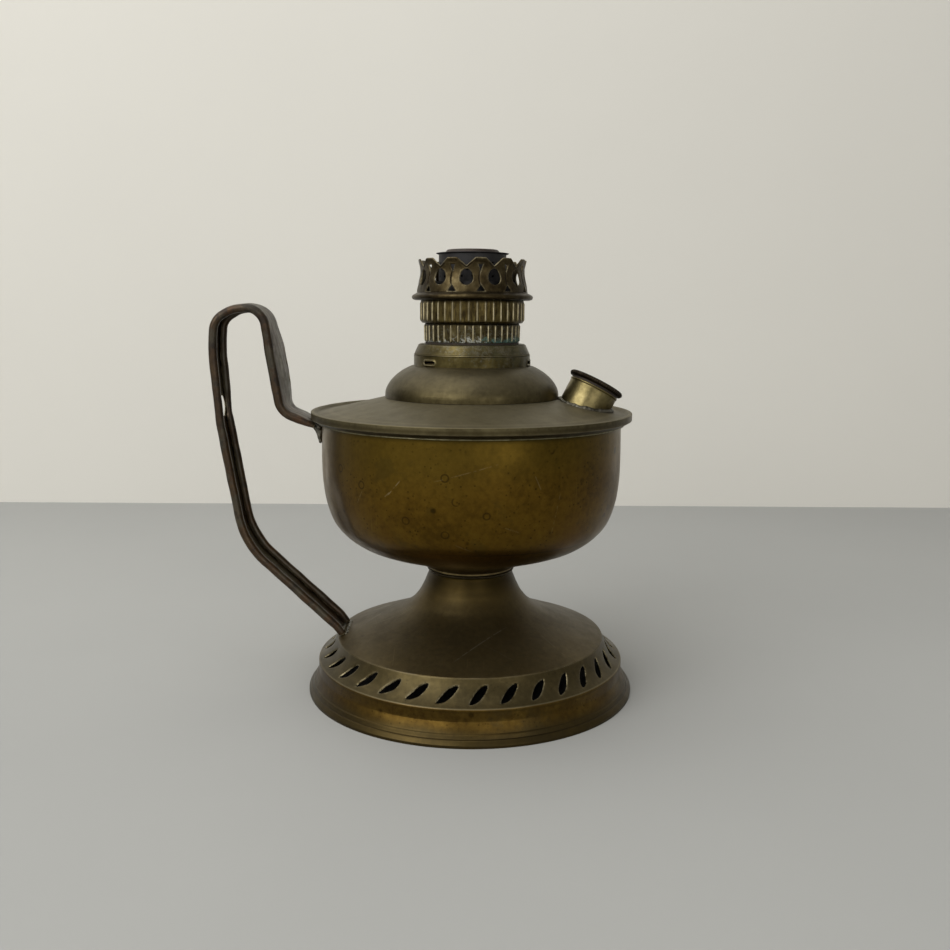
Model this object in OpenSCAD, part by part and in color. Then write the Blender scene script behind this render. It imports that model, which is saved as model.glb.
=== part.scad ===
// Central-draught oil lamp: pierced foot, fuel font with a screwed filler,
// side handle of curled strip, and a round-wick burner with a chimney gallery.
// The origin is on the lamp's axis in the plane that the foot stands on.
// +Z is up and the handle is on the -X side.

/* [Foot] */
// Radius over the bottom edge
foot_r = 83.5; // [82.5:0.5:85]
// Radius of the plain upright band
band_r = 78.3; // [77.5:0.1:79]
// Radius of the crease above the pierced band
crease_r = 68.4; // [67.5:0.1:69.5]
// Smallest radius of the pedestal's neck
neck_r = 21.3; // [21.1:0.1:21.6]
// Air slots around the pierced band
slot_count = 32; // [16:1:32]
// Length of an air slot
slot_l = 12; // [8:0.5:12]
// Width of an air slot at its middle
slot_w = 3.2; // [2:0.1:3.6]
// Lean of a slot away from upright, in degrees
slot_lean = 43; // [20:1:50]

/* [Font] */
// Radius of the bowl's upright wall
bowl_r = 75; // [74.6:0.1:75.2]
// Radius over the lid's rolled rim
lid_r = 80; // [79.8:0.1:81]
// Radius of the dome's foot
dome_r = 43.4; // [43.3:0.1:44]
// Radius of the collar's upright tier
collar_r = 29.2; // [29:0.1:29.5]
// Pressed slots around the collar
collar_slots = 3; // [2:1:6]
// Thickness of the spun sheet
sheet = 1; // [0.8:0.1:1.1]

/* [Filler] */
// Distance of the neck from the lamp's axis
filler_s = 56.7; // [56.4:0.1:58]
// Tilt of the neck away from upright, in degrees
filler_tilt = 28; // [24:1:30]
// Outside radius of the neck
filler_r = 12.4; // [12.2:0.1:12.6]
// Radius over the cap's rolled edge
cap_r = 14.2; // [14:0.1:14.4]

/* [Burner] */
// Radius over the gallery's bead
bead_r = 30; // [29.8:0.1:30.4]
// Radius over the gallery ring's ribs
ring_r = 26; // [25.9:0.1:26.2]
// Radius over the burner body's ribs
grip_r = 24; // [23.9:0.1:24.2]
// Upright ribs around each ring
rib_count = 40; // [24:1:44]
// Rings in the coronet
coronet_count = 12; // [8:1:12]
// Outside radius of the draught tube
draught_r = 17.6; // [17.6:0.01:17.62]
// How far the wick rises in one turn of the gallery
wick_pitch = 10; // [9.5:0.5:10]

/* [Handle] */
// Width of the strip over its curled edges
strip_w = 24; // [20:0.5:24]
// Diameter of a curled edge
curl_d = 4.2; // [3.8:0.1:4.2]

/* [Hidden] */
$fn = 96;

// ---- Colours ----
brass_dull = [0.34, 0.30, 0.19];
brass_gold = [0.45, 0.35, 0.12];
brass_dark = [0.24, 0.18, 0.11];
soot = [0.07, 0.06, 0.06];
solder_grey = [0.45, 0.45, 0.43];
leather = [0.35, 0.22, 0.12];
cotton = [0.80, 0.76, 0.66];

// ---- Foot ----
band_low = 10.8;
band_top = 16.2;
crease_z = 27;
neck_z = 60.2;
foot_h = 61.6;
foot_top = 62.3;
slot_phase = 3.2;
bottom_edge = 1.2;

// ---- Font ----
bowl_base_z = 63.2;
bowl_top_z = 139.9;
flange_t = 0.9;
flange_r = lid_r - 2.6;
rim_top = 143;
lid_trough_z = 141.7;
lid_trough_r = 75.2;
lid_hole_r = 40.5;
lid_hole_z = 150.1;
lid_slope = (lid_hole_z - lid_trough_z) / (lid_trough_r - lid_hole_r);
dome_top_z = 165.9;
dome_hole_r = 25;
collar_base_z = 165.6;
collar_top_z = 176;
collar_slot_z = 167.2;
thread_r = 23;
thread_fit = 0.05;

// ---- Draught tube and wick ----
tube_wall = 0.7;
tube_low = 51;
tube_top = 205;
fit_gap = 0.08;
carrier_r = draught_r + fit_gap;
carrier_wall = 0.47;
wick_r = 20.4;
wick_low = 70;
wick_top = 205;
pin_z = 168;
pin_r = 1;
wick_tube_in = 20.7;
wick_tube_r = 21.2;
wick_tube_top = 206;
sleeve_in = 21.3;
sleeve_r = 22.1;
wick_travel = 8;

// ---- Burner ----
seal_t = 0.75;
grip_low = collar_top_z + 0.1 + seal_t;
grip_top = 186.5;
body_in = 22.4;
skirt_low = 163;
ring_low = 187;
ring_top = 197.4;
bead_z = 198.7;
bead_t = 1.6;
plate_z = 199.8;
coronet_top = 216.6;
coronet_t = 0.8;
coronet_phase = -6.3;

// ---- Flame spreader ----
thimble_r = 16.6;
thimble_low = 196.8;
flange_z = 219.3;
spreader_flange_r = 18;
spreader_cap_r = 13.6;
spreader_top = 221.6;

// ---- Filler ----
filler_az = -7;
filler_tilt_az = 14;
filler_bore = 11.5;
filler_top = 9.8;
filler_low = -4;
cap_low = 10.65;
plug_low = 4.5;

// ---- Handle: the line that its curls follow in the XZ plane, [x, z, bend radius] ----
handle_path = [[-81.4, 137, 0], [-94.7, 142.7, 8.2], [-102, 194.1, 9.9], [-117.1, 192.3, 16.6],
               [-125.9, 187, 6.4], [-127.4, 172.7, 82], [-124.5, 136, 84], [-114.5, 75.6, 42],
               [-69, 32.8, 16], [-62.8, 24.6, 0]];
tongue_w = 18;
// Each straight is a hair thinner than the bends and runs a little way into them
lap = 0.3;
step = 0.02;

// ---- Outline helpers ----
// A smooth curve through the points p, with n steps from each to the next
function smooth(p, n) = concat(
    [for (i = [0:len(p) - 2]) for (k = [0:n - 1])
        let (a = p[max(i - 1, 0)], b = p[i], c = p[i + 1], d = p[min(i + 2, len(p) - 1)], t = k / n)
        0.5 * (2 * b + (c - a) * t + (2 * a - 5 * b + 4 * c - d) * t * t
               + (3 * b - a - 3 * c + d) * t * t * t)],
    [p[len(p) - 1]]);
function unit(v) = v / norm(v);
function left_of(v) = [-v[1], v[0]];
// The polyline p moved t to its left, with mitred corners
function beside(p, t) = [for (i = [0:len(p) - 1])
    let (u = unit(p[min(i + 1, len(p) - 1)] - p[min(i, len(p) - 2)]),
         w = unit(p[max(i, 1)] - p[max(i - 1, 0)]),
         m = unit(left_of(u) + left_of(w)))
    p[i] + m * t / (m * left_of(u))];
function reversed(p) = [for (i = [len(p) - 1:-1:0]) p[i]];

// A spun sheet: the outline p turned about Z, t thick to the left of p
module spun(p, t) {
    rotate_extrude() polygon(concat(p, reversed(beside(p, t))));
}
module tube(r_out, r_in, z0, z1) {
    rotate_extrude() translate([r_in, z0]) square([r_out - r_in, z1 - z0]);
}
// Repeats its children n times around Z, the first at the angle start
module around(n, start = 0) {
    for (i = [0:n - 1]) rotate([0, 0, start + i * 360 / n]) children();
}
// Angles on the lamp are counted from the front, which is -Y, towards +X
module front_at(a) {
    rotate([0, 0, a - 90]) children();
}

// ---- Foot ----
function foot_outline() = concat(
    [[foot_r, 0], [foot_r, bottom_edge]],
    smooth([[foot_r - 0.7, 2.4], [foot_r - 2.6, 5.2], [band_r + 0.7, 8.4], [band_r, band_low]], 3),
    smooth([[band_r, band_top], [72.7, 20.3], [70, 23.8], [crease_r, crease_z]], 3),
    [[47, 35]],
    smooth([[38, 38.9], [32.7, 42.2], [28.7, 46], [25.2, 51.8], [22.7, 57.2], [neck_r, neck_z],
            [neck_r + 1, foot_h]], 3));

// A leaf-shaped slot: where two circles overlap
module leaf(l, w) {
    big = (l * l / 4 + w * w / 4) / w;
    intersection() {
        translate([0, big - w / 2]) circle(big);
        translate([0, w / 2 - big]) circle(big);
    }
}
module foot() {
    slope = atan2(band_r - crease_r, crease_z - band_top);
    color(brass_dull) difference() {
        spun(foot_outline(), sheet);
        for (i = [0:slot_count - 1])
            front_at(slot_phase + i * 360 / slot_count)
                translate([72.3, 0, 21.4]) rotate([0, 90 - slope, 0])
                    rotate([0, 0, 180 - slot_lean]) translate([0, 0, -5])
                        linear_extrude(10) leaf(slot_l, slot_w);
    }
}
module lock_ring() {
    color(brass_dull) difference() {
        tube(21.2, draught_r + 0.02, 54, 57.4);
        around(4) translate([20.2, -1, 53]) cube([3, 2, 2.4]);
    }
}

// ---- Font ----
module bowl_boss() {
    color(brass_dull) union() {
        tube(neck_r - sheet - 0.15, draught_r + 0.02, 57.6, bowl_base_z - 0.05);
        tube(neck_r + 0.3, draught_r + 0.02, foot_top + 0.1, bowl_base_z - 0.05);
    }
}
function bowl_outline() = concat(
    [[draught_r + 0.05, bowl_base_z], [21.6, bowl_base_z + 0.2]],
    smooth([[23.4, 64], [30, 67], [41, 70.9], [51.4, 74.2], [58, 77.2], [64.4, 82], [69.6, 88.6],
            [73, 98.2], [74.6, 108.5], [bowl_r, 119], [bowl_r - 0.2, 132]], 3),
    [[bowl_r - 0.3, bowl_top_z]]);
module bowl() {
    color(brass_gold) union() {
        spun(bowl_outline(), sheet);
        tube(flange_r, bowl_r - 1.2, bowl_top_z - flange_t, bowl_top_z);
    }
}
module lid() {
    inner_z = lid_hole_z - sheet;
    rim_in = flange_r + 0.15;
    lip = bowl_top_z - flange_t - 0.1;
    color(brass_dull) difference() {
        rotate_extrude() polygon([
            [lid_hole_r, lid_hole_z], [lid_trough_r, lid_trough_z], [76.7, lid_trough_z],
            [77.8, rim_top - 0.4], [78.4, rim_top], [lid_r - 0.3, rim_top],
            [lid_r, rim_top - 0.3], [lid_r, 139.6], [bowl_r + 1.2, 137.4], [bowl_r + 0.7, 137.5],
            [bowl_r + 0.7, lip], [rim_in, lip], [rim_in, bowl_top_z + 0.1],
            [lid_trough_r, lid_trough_z - sheet], [lid_hole_r, inner_z]]);
        at_filler() translate([0, 0, -8]) cylinder(r = filler_r + 0.05, h = 16);
    }
}
function dome_outline() = smooth([[dome_r, 149.7], [dome_r - 0.3, 152.8], [dome_r - 1.5, 155.7],
    [39.6, 158.7], [36, 161.9], [32, 164.3], [29, 165.3], [dome_hole_r, dome_top_z]], 3);
module dome() {
    color(brass_dull) spun(dome_outline(), sheet);
}
module collar() {
    color(brass_dull) difference() {
        spun([[collar_r, collar_base_z], [collar_r, 170.6], [28.3, 171.8],
              [26.4, collar_top_z], [thread_r + 0.35, collar_top_z]], sheet);
        for (i = [0:collar_slots - 1]) front_at(-45 + i * 360 / collar_slots)
            translate([collar_r - 3, -3.7, collar_slot_z - 0.65]) cube([6, 7.4, 1.3]);
    }
}
module font_thread() {
    color(brass_dull) union() {
        tube(24.5, thread_r, 158.5, collar_top_z - sheet - 0.05);
        tube(27.8, 24.4, dome_top_z + 0.1, dome_top_z + 1);
    }
}
module draught_tube() {
    color(brass_dull) tube(draught_r, draught_r - tube_wall, tube_low, tube_top);
}
module spreader_seat() {
    color(brass_dull) tube(draught_r - tube_wall, 15.2, 195.5, thimble_low - 0.1);
}

// ---- Filler ----
module at_filler() {
    rotate([0, 0, filler_az])
        translate([filler_s, 0, lid_hole_z - (filler_s - lid_hole_r) * lid_slope])
            rotate([0, 0, filler_tilt_az - filler_az]) rotate([0, filler_tilt, 0]) children();
}
module filler_neck() {
    color(brass_dull) at_filler() tube(filler_r, filler_bore, filler_low, filler_top);
}
// Everything below the lid's and the dome's outer faces
module below_lid() {
    rotate_extrude() polygon([[0, 130], [lid_trough_r + 3, 130],
        [lid_trough_r + 3, lid_trough_z + 0.05], [lid_trough_r, lid_trough_z + 0.05],
        [dome_r + 0.1, lid_hole_z - (dome_r - lid_hole_r) * lid_slope + 0.1],
        [dome_r + 0.1, 156], [0, 156]]);
}
module filler_solder() {
    color(solder_grey) difference() {
        at_filler() translate([0, 0, -7]) cylinder(r1 = 17.4, r2 = filler_r + 0.1, h = 10);
        at_filler() translate([0, 0, -9]) cylinder(r = filler_r + 0.05, h = 14);
        below_lid();
    }
}
module cap_seal() {
    color(leather) at_filler() tube(filler_r - 0.1, plug_r() + 0.1, filler_top + 0.05, cap_low - 0.05);
}
function plug_r() = filler_bore - fit_gap;
module filler_cap() {
    edge = 1.3;
    color(brass_dark) at_filler() union() {
        rotate_extrude() translate([cap_r - edge, cap_low + edge]) circle(edge);
        tube(cap_r - edge, 0, cap_low, cap_low + 1.2);
        tube(plug_r(), plug_r() - 1, plug_low, cap_low + 1);
    }
}

// ---- Burner ----
module burner_seal() {
    color(leather) tube(grip_r - 0.1, thread_r + 0.25, collar_top_z + 0.05, collar_top_z + 0.05 + seal_t);
}
// Rounded ribs standing on a ring, from z0 to z1
module ribs(r, z0, z1) {
    around(rib_count) translate([r - 0.5, 0, z0]) cylinder(r = 0.5, h = z1 - z0);
}
module burner_body() {
    color(brass_dull) union() {
        tube(grip_r - 0.5, body_in, grip_low, grip_top);
        ribs(grip_r, grip_low + 0.6, grip_top - 0.3);
        tube(thread_r - thread_fit, body_in, skirt_low, grip_low);
        tube(body_in + 0.2, wick_tube_r, skirt_low, skirt_low + 1);
    }
}
module wick_tube() {
    color(soot) difference() {
        tube(wick_tube_r - 0.01, wick_tube_in, 150, wick_tube_top);
        around(2) translate([wick_tube_in - 1, -pin_r - 0.2, pin_z - 1.4])
            cube([3, 2 * pin_r + 0.4, wick_travel + 2.8]);
    }
}
// The sleeve's two slots climb like a thread, so that turning it lifts the carrier's pins
module raiser_sleeve() {
    turn = 360 * wick_travel / wick_pitch;
    steps = 24;
    color(brass_dull) difference() {
        tube(sleeve_r, sleeve_in, skirt_low + 1.3, plate_z + 0.8);
        around(2) for (i = [-1:steps + 1])
            rotate([0, 0, -i * turn / steps])
                translate([sleeve_in - 0.5, -2.6, pin_z + i * wick_travel / steps - 1.45])
                    cube([2, 5.2, 2.9]);
    }
}
module air_plate() {
    color(soot) difference() {
        union() {
            tube(24.6, sleeve_r, plate_z, plate_z + 0.8);
            tube(26.1, 24.5, plate_z, plate_z + 0.4);
        }
        around(rib_count / 2) translate([23.4, 0, plate_z - 1]) cylinder(r = 0.7, h = 3);
    }
}
module gallery_ring() {
    color(brass_dull) union() {
        rotate_extrude() polygon([[sleeve_r + 0.02, ring_low - 0.2], [ring_r - 1, ring_low - 0.2],
            [ring_r - 0.5, ring_low + 0.5], [ring_r - 0.5, ring_top - 0.1], [ring_r - 1.3, ring_top - 0.1],
            [ring_r - 1.3, ring_low + 0.7], [sleeve_r + 0.02, ring_low + 0.7]]);
        ribs(ring_r, ring_low + 0.6, ring_top - 0.4);
    }
}
function coronet_outline() = concat([[ring_r - 0.6, ring_top], [27.6, 200.2]],
    smooth([[27.2, 201.6], [26.7, 204.4], [25.9, 208], [25.6, 210.6], [25.8, 213.4],
            [26.7, coronet_top]], 3));
module coronet_hole() {
    // the big hole, pointed at its top
    translate([0, 0, 207.8]) rotate([0, 90, 0]) cylinder(r = 3.2, h = 12);
    translate([0, 0, 209.6]) rotate([45, 0, 0]) translate([0, -1.45, -1.45]) cube([12, 2.9, 2.9]);
    // the notch in the top edge
    translate([0, 0, 213.1]) rotate([90, 0, 90]) linear_extrude(12)
        polygon([[0, 0], [5.4, 4.4], [-5.4, 4.4]]);
}
module coronet_gaps() {
    translate([0, 0, 212.1]) rotate([90, 0, 90]) linear_extrude(12)
        polygon([[0, -1.2], [0.9, 1], [-0.9, 1]]);
    translate([0, 0, 202.6]) rotate([90, 0, 90]) linear_extrude(12)
        polygon([[0, 1.3], [2, -1], [-2, -1]]);
}
module gallery() {
    color(brass_dull) difference() {
        union() {
            spun(coronet_outline(), coronet_t);
            rotate_extrude() translate([bead_r - bead_t, bead_z]) circle(bead_t);
            tube(bead_r - bead_t, 26.3, bead_z - 0.4, bead_z + 0.4);
        }
        for (i = [0:coronet_count - 1]) {
            front_at(coronet_phase + i * 360 / coronet_count) translate([20, 0, 0]) coronet_hole();
            front_at(coronet_phase + (i + 0.5) * 360 / coronet_count) translate([20, 0, 0]) coronet_gaps();
        }
        tube(bead_r, 0, coronet_top - 0.02, coronet_top + 3);
    }
}

// ---- Wick ----
module carrier_pin(r) {
    translate([carrier_r, 0, pin_z]) rotate([0, 90, 0]) cylinder(r = r, h = 4.1);
}
module wick_carrier() {
    color(brass_dull) union() {
        tube(carrier_r + carrier_wall, carrier_r, 158, 190);
        around(2) translate([0.2, 0, 0]) carrier_pin(pin_r);
    }
}
module wick() {
    color(cotton) difference() {
        tube(wick_r, carrier_r + carrier_wall + 0.05, wick_low, wick_top);
        around(2) carrier_pin(pin_r + 0.1);
    }
}

// ---- Flame spreader ----
module spreader_thimble() {
    color(soot) difference() {
        tube(thimble_r, thimble_r - 0.7, thimble_low, flange_z - 0.05);
        for (row = [0:2]) around(20, row * 9) translate([14, 0, 208.5 + 3.2 * row])
            rotate([0, 90, 0]) cylinder(r = 0.6, h = 5);
    }
}
module spreader_flange() {
    color(soot) tube(spreader_flange_r, 0, flange_z, flange_z + 0.6);
}
module spreader_cap() {
    color([0.16, 0.10, 0.08]) rotate_extrude() polygon([[0, flange_z + 0.65], [spreader_cap_r, flange_z + 0.65],
        [spreader_cap_r - 1.1, spreader_top], [0, spreader_top]]);
}

// ---- Handle ----
function heading(a, b) = atan2(b[1] - a[1], b[0] - a[0]);
function turn_at(p, i) = let (d = heading(p[i], p[i + 1]) - heading(p[i - 1], p[i]))
    d > 180 ? d - 360 : d < -180 ? d + 360 : d;
// Length that a bend takes from each of the two straights that meet at corner i
function bend_cut(p, i) = (i == 0 || i == len(p) - 1) ? 0 : p[i][2] * tan(abs(turn_at(p, i)) / 2);

// Across the strip: x is its depth with the web at +x, y runs across its width
module strip_section(thinner = 0) {
    curl_y = strip_w / 2 - curl_d / 2;
    translate([curl_d / 2 - 1 + thinner, -curl_y]) square([1 - 2 * thinner, 2 * curl_y]);
    for (s = [-1, 1]) translate([0, s * curl_y]) circle(d = curl_d - 2 * thinner);
}
module strip_along(p) {
    for (i = [0:len(p) - 2]) {
        a = heading(p[i], p[i + 1]);
        start = bend_cut(p, i) - (i > 0 ? lap : 0);
        end = bend_cut(p, i + 1) - (i < len(p) - 2 ? lap : 0);
        run = norm([p[i + 1][0] - p[i][0], p[i + 1][1] - p[i][1]]) - start - end;
        translate([p[i][0] + start * cos(a), 0, p[i][1] + start * sin(a)])
            rotate([0, 90 - a, 0]) linear_extrude(run) strip_section(step);
    }
    for (i = [1:len(p) - 2]) {
        a = heading(p[i - 1], p[i]);
        d = turn_at(p, i);
        side = d > 0 ? 1 : -1;
        r = p[i][2];
        back = bend_cut(p, i);
        translate([p[i][0] - back * cos(a) - side * r * sin(a), 0,
                   p[i][1] - back * sin(a) + side * r * cos(a)])
            rotate([90, 0, 0]) rotate([0, 0, d > 0 ? a - 90 : a + 90 + d])
                rotate_extrude(angle = abs(d)) translate([r, 0]) mirror([side > 0 ? 0 : 1, 0])
                    strip_section();
    }
}
module tongue() {
    translate([-83.2, -tongue_w / 2, 136.2]) cube([7.7, tongue_w, 1]);
    translate([-76.5, -tongue_w / 2, 128.5]) cube([1, tongue_w, 8.7]);
}
// The foot's cone and everything below it, raised by up
module below_cone(up) {
    rotate_extrude() polygon([[0, 15], [crease_r + 4, 15], [crease_r + 4, crease_z - 1.5 + up],
        [crease_r, crease_z + up], [47, 35 + up], [0, 35 + up]]);
}
module handle() {
    color(brass_dark) difference() {
        union() {
            strip_along(handle_path);
            tongue();
        }
        below_cone(0.1);
    }
}
module handle_solder() {
    color(solder_grey) {
        difference() {
            translate([-77.4, -9.5, 127]) cube([3.4, 19, 4.2]);
            translate([0, 0, 120]) cylinder(r = bowl_r + 0.05, h = 20);
            tongue();
        }
        difference() {
            intersection() {
                translate([-67.4, -10, 24]) cube([7, 20, 10]);
                below_cone(1.6);
            }
            below_cone(0.05);
            strip_along(handle_path);
        }
    }
}

foot();
lock_ring();
bowl_boss();
bowl();
lid();
dome();
collar();
font_thread();
draught_tube();
spreader_seat();
handle();
handle_solder();
filler_neck();
filler_solder();
cap_seal();
filler_cap();
burner_seal();
burner_body();
wick_tube();
raiser_sleeve();
air_plate();
gallery_ring();
gallery();
wick_carrier();
wick();
spreader_thimble();
spreader_flange();
spreader_cap();
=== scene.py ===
"""Looks of the oil lamp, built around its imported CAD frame.

Lengths are in mm until add() turns them to metres; materials, camera and lights are in metres.
"""

import math

import bmesh
import bpy
import numpy as np
from mathutils import Matrix, Vector


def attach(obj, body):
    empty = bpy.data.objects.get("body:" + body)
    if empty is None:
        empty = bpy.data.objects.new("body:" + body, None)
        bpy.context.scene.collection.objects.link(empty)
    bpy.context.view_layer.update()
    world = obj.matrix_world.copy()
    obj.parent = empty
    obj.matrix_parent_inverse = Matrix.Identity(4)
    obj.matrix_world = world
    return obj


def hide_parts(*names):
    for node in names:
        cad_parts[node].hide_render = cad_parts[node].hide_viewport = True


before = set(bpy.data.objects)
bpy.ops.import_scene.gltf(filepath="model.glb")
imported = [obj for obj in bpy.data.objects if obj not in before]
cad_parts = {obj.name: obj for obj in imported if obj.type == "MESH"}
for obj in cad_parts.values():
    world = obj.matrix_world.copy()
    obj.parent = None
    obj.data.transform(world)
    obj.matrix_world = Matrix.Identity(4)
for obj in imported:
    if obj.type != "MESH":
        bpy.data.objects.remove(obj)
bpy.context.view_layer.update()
TAU = 2 * math.pi
MM = 0.001
scene = bpy.context.scene


# ------------------------------------------------------------------ outlines
def smooth(points, n):
    """A smooth curve through the points, with n steps from each to the next."""
    p = np.array(points, float)
    out = []
    for i in range(len(p) - 1):
        a, b, c, d = p[max(i - 1, 0)], p[i], p[i + 1], p[min(i + 2, len(p) - 1)]
        for k in range(n):
            t = k / n
            out.append(0.5 * (2 * b + (c - a) * t + (2 * a - 5 * b + 4 * c - d) * t * t
                              + (3 * b - a - 3 * c + d) * t ** 3))
    return out + [p[-1]]


def resample(points, step):
    """The same polyline with its long segments cut so that none is longer than step."""
    p = np.array(points, float)
    out = [p[0]]
    for a, b in zip(p, p[1:]):
        n = max(1, math.ceil(np.linalg.norm(b - a) / step))
        out += [a + (b - a) * k / n for k in range(1, n + 1)]
    return np.array(out)


def rounded(points, radii, n, share=0.48):
    """A polyline with its inner corners rounded; a bend takes at most that share of a side."""
    p = np.array(points, float)
    out = [p[0]]
    for i in range(1, len(p) - 1):
        u, v = p[i - 1] - p[i], p[i + 1] - p[i]
        lu, lv = np.linalg.norm(u), np.linalg.norm(v)
        u, v = u / lu, v / lv
        half = math.acos(max(-1, min(1, float(u @ v)))) / 2
        r = radii[i] if hasattr(radii, "__len__") else radii
        if r <= 0 or half > math.pi / 2 - 0.01:
            out.append(p[i])
            continue
        back = min(r / math.tan(half), share * lu, share * lv)
        r = back * math.tan(half)
        mid = (u + v) / np.linalg.norm(u + v)
        centre = p[i] + mid * r / math.sin(half)
        a, b = p[i] + u * back - centre, p[i] + v * back - centre
        turn = math.atan2(a[0] * b[1] - a[1] * b[0], a @ b)
        for k in range(n + 1):
            t = turn * k / n
            out.append(centre + np.array([a[0] * math.cos(t) - a[1] * math.sin(t),
                                          a[0] * math.sin(t) + a[1] * math.cos(t)]))
    return np.array(out + [p[-1]])


def beside(points, t):
    """The polyline moved t to its left, with mitred corners."""
    p = np.array(points, float)
    d = np.diff(p, axis=0)
    d /= np.linalg.norm(d, axis=1)[:, None]
    w = np.vstack([d[:1], d])
    u = np.vstack([d, d[-1:]])
    nu = np.stack([-u[:, 1], u[:, 0]], 1)
    nw = np.stack([-w[:, 1], w[:, 0]], 1)
    m = nu + nw
    m /= np.linalg.norm(m, axis=1)[:, None]
    return p + m * (t / np.clip((m * nu).sum(1), 0.35, 1))[:, None]


def shell(points, t):
    """A closed outline: the sheet t thick to the left of the polyline."""
    return np.vstack([points, beside(points, t)[::-1]])


def lengths(points):
    """How far along the polyline each of its points lies."""
    return np.concatenate([[0], np.cumsum(np.linalg.norm(np.diff(points, axis=0), axis=1))])


def around(n):
    """n azimuths spread evenly over one turn."""
    return np.arange(n) * TAU / n


def cell_at(U, count, phase):
    """Which of count equal cells round the axis U lies in, and its angle from that cell's middle."""
    cell = TAU / count
    k = np.round((U - phase) / cell)
    return k.astype(int) % count, U - phase - k * cell


def hills(az, z, spots):
    """Sum of soft dents: each (azimuth, z, width across, width up, depth)."""
    out = 0.0
    for a0, z0, wa, wz, depth in spots:
        da = (az - math.radians(a0) + math.pi) % TAU - math.pi
        out = out + depth * np.exp(-(da / math.radians(wa)) ** 2 - ((z - z0) / wz) ** 2)
    return out


# ------------------------------------------------------------------- meshes
def goes_with(ob, mat, body, replaces):
    """Give a piece its material, the CAD body that it rides on and the CAD nodes that it stands in for."""
    ob.data.materials.clear()
    ob.data.materials.append(mat)
    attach(ob, body)
    if replaces:
        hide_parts(*replaces)


def add(name, verts, faces, mat, body, replaces, slot, sharp=35.0, attrs=None, place=None):
    """A named piece that rides on a CAD body. verts are in mm."""
    v = np.asarray(verts, float)
    if place is not None:
        v = v @ np.array(place.to_3x3()).T + np.array(place.translation)
    me = bpy.data.meshes.new(name)
    me.from_pydata((v * MM).tolist(), [], faces)
    for key, values in (attrs or {}).items():
        layer = me.attributes.new(key, "FLOAT", "POINT")
        layer.data.foreach_set("value", np.asarray(values, np.float32))
    bm = bmesh.new()
    bm.from_mesh(me)
    bmesh.ops.remove_doubles(bm, verts=bm.verts, dist=1e-7)
    bmesh.ops.dissolve_degenerate(bm, edges=bm.edges, dist=1e-8)
    bmesh.ops.recalc_face_normals(bm, faces=bm.faces)
    bm.to_mesh(me)
    bm.free()
    me.polygons.foreach_set("use_smooth", np.ones(len(me.polygons), bool))
    me.set_sharp_from_angle(angle=math.radians(sharp))
    ob = bpy.data.objects.new(name, me)
    scene.collection.objects.link(ob)
    goes_with(ob, mat, body, replaces)


def inner_side(outline, n, outer_end):
    """For revolved(): 1 on the points after the one nearest to outer_end, where a shell turns inside."""
    o = np.array(outline, float)
    if np.allclose(o[0], o[-1]):
        o = o[:-1]
    k = int(np.argmin(((o - np.array(outer_end)) ** 2).sum(1)))
    return np.tile((np.arange(len(o)) > k).astype(float), n)


def revolved(outline, n, wave=None, closed=True):
    """A closed outline of (r, z) turned about Z. wave(az, r, z) gives the outward push at each point."""
    o = np.array(outline, float)
    if closed and np.allclose(o[0], o[-1]):
        o = o[:-1]
    m = len(o)
    az = around(n)[:, None]
    r = np.repeat(o[None, :, 0], n, 0)
    z = np.repeat(o[None, :, 1], n, 0)
    if wave is not None:
        r = r + np.where(r > 0.01, wave(az + 0 * r, r, z), 0)
    verts = np.stack([r * np.sin(az), -r * np.cos(az), z], -1).reshape(-1, 3)
    i = np.arange(n)[:, None]
    j = np.arange(m if closed else m - 1)[None, :]
    i2, j2 = (i + 1) % n, (j + 1) % m
    quads = np.stack([i * m + j + 0 * i, i2 * m + j, i2 * m + j2, i * m + j2 + 0 * i], -1)
    return verts, quads.reshape(-1, 4).tolist()


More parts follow.
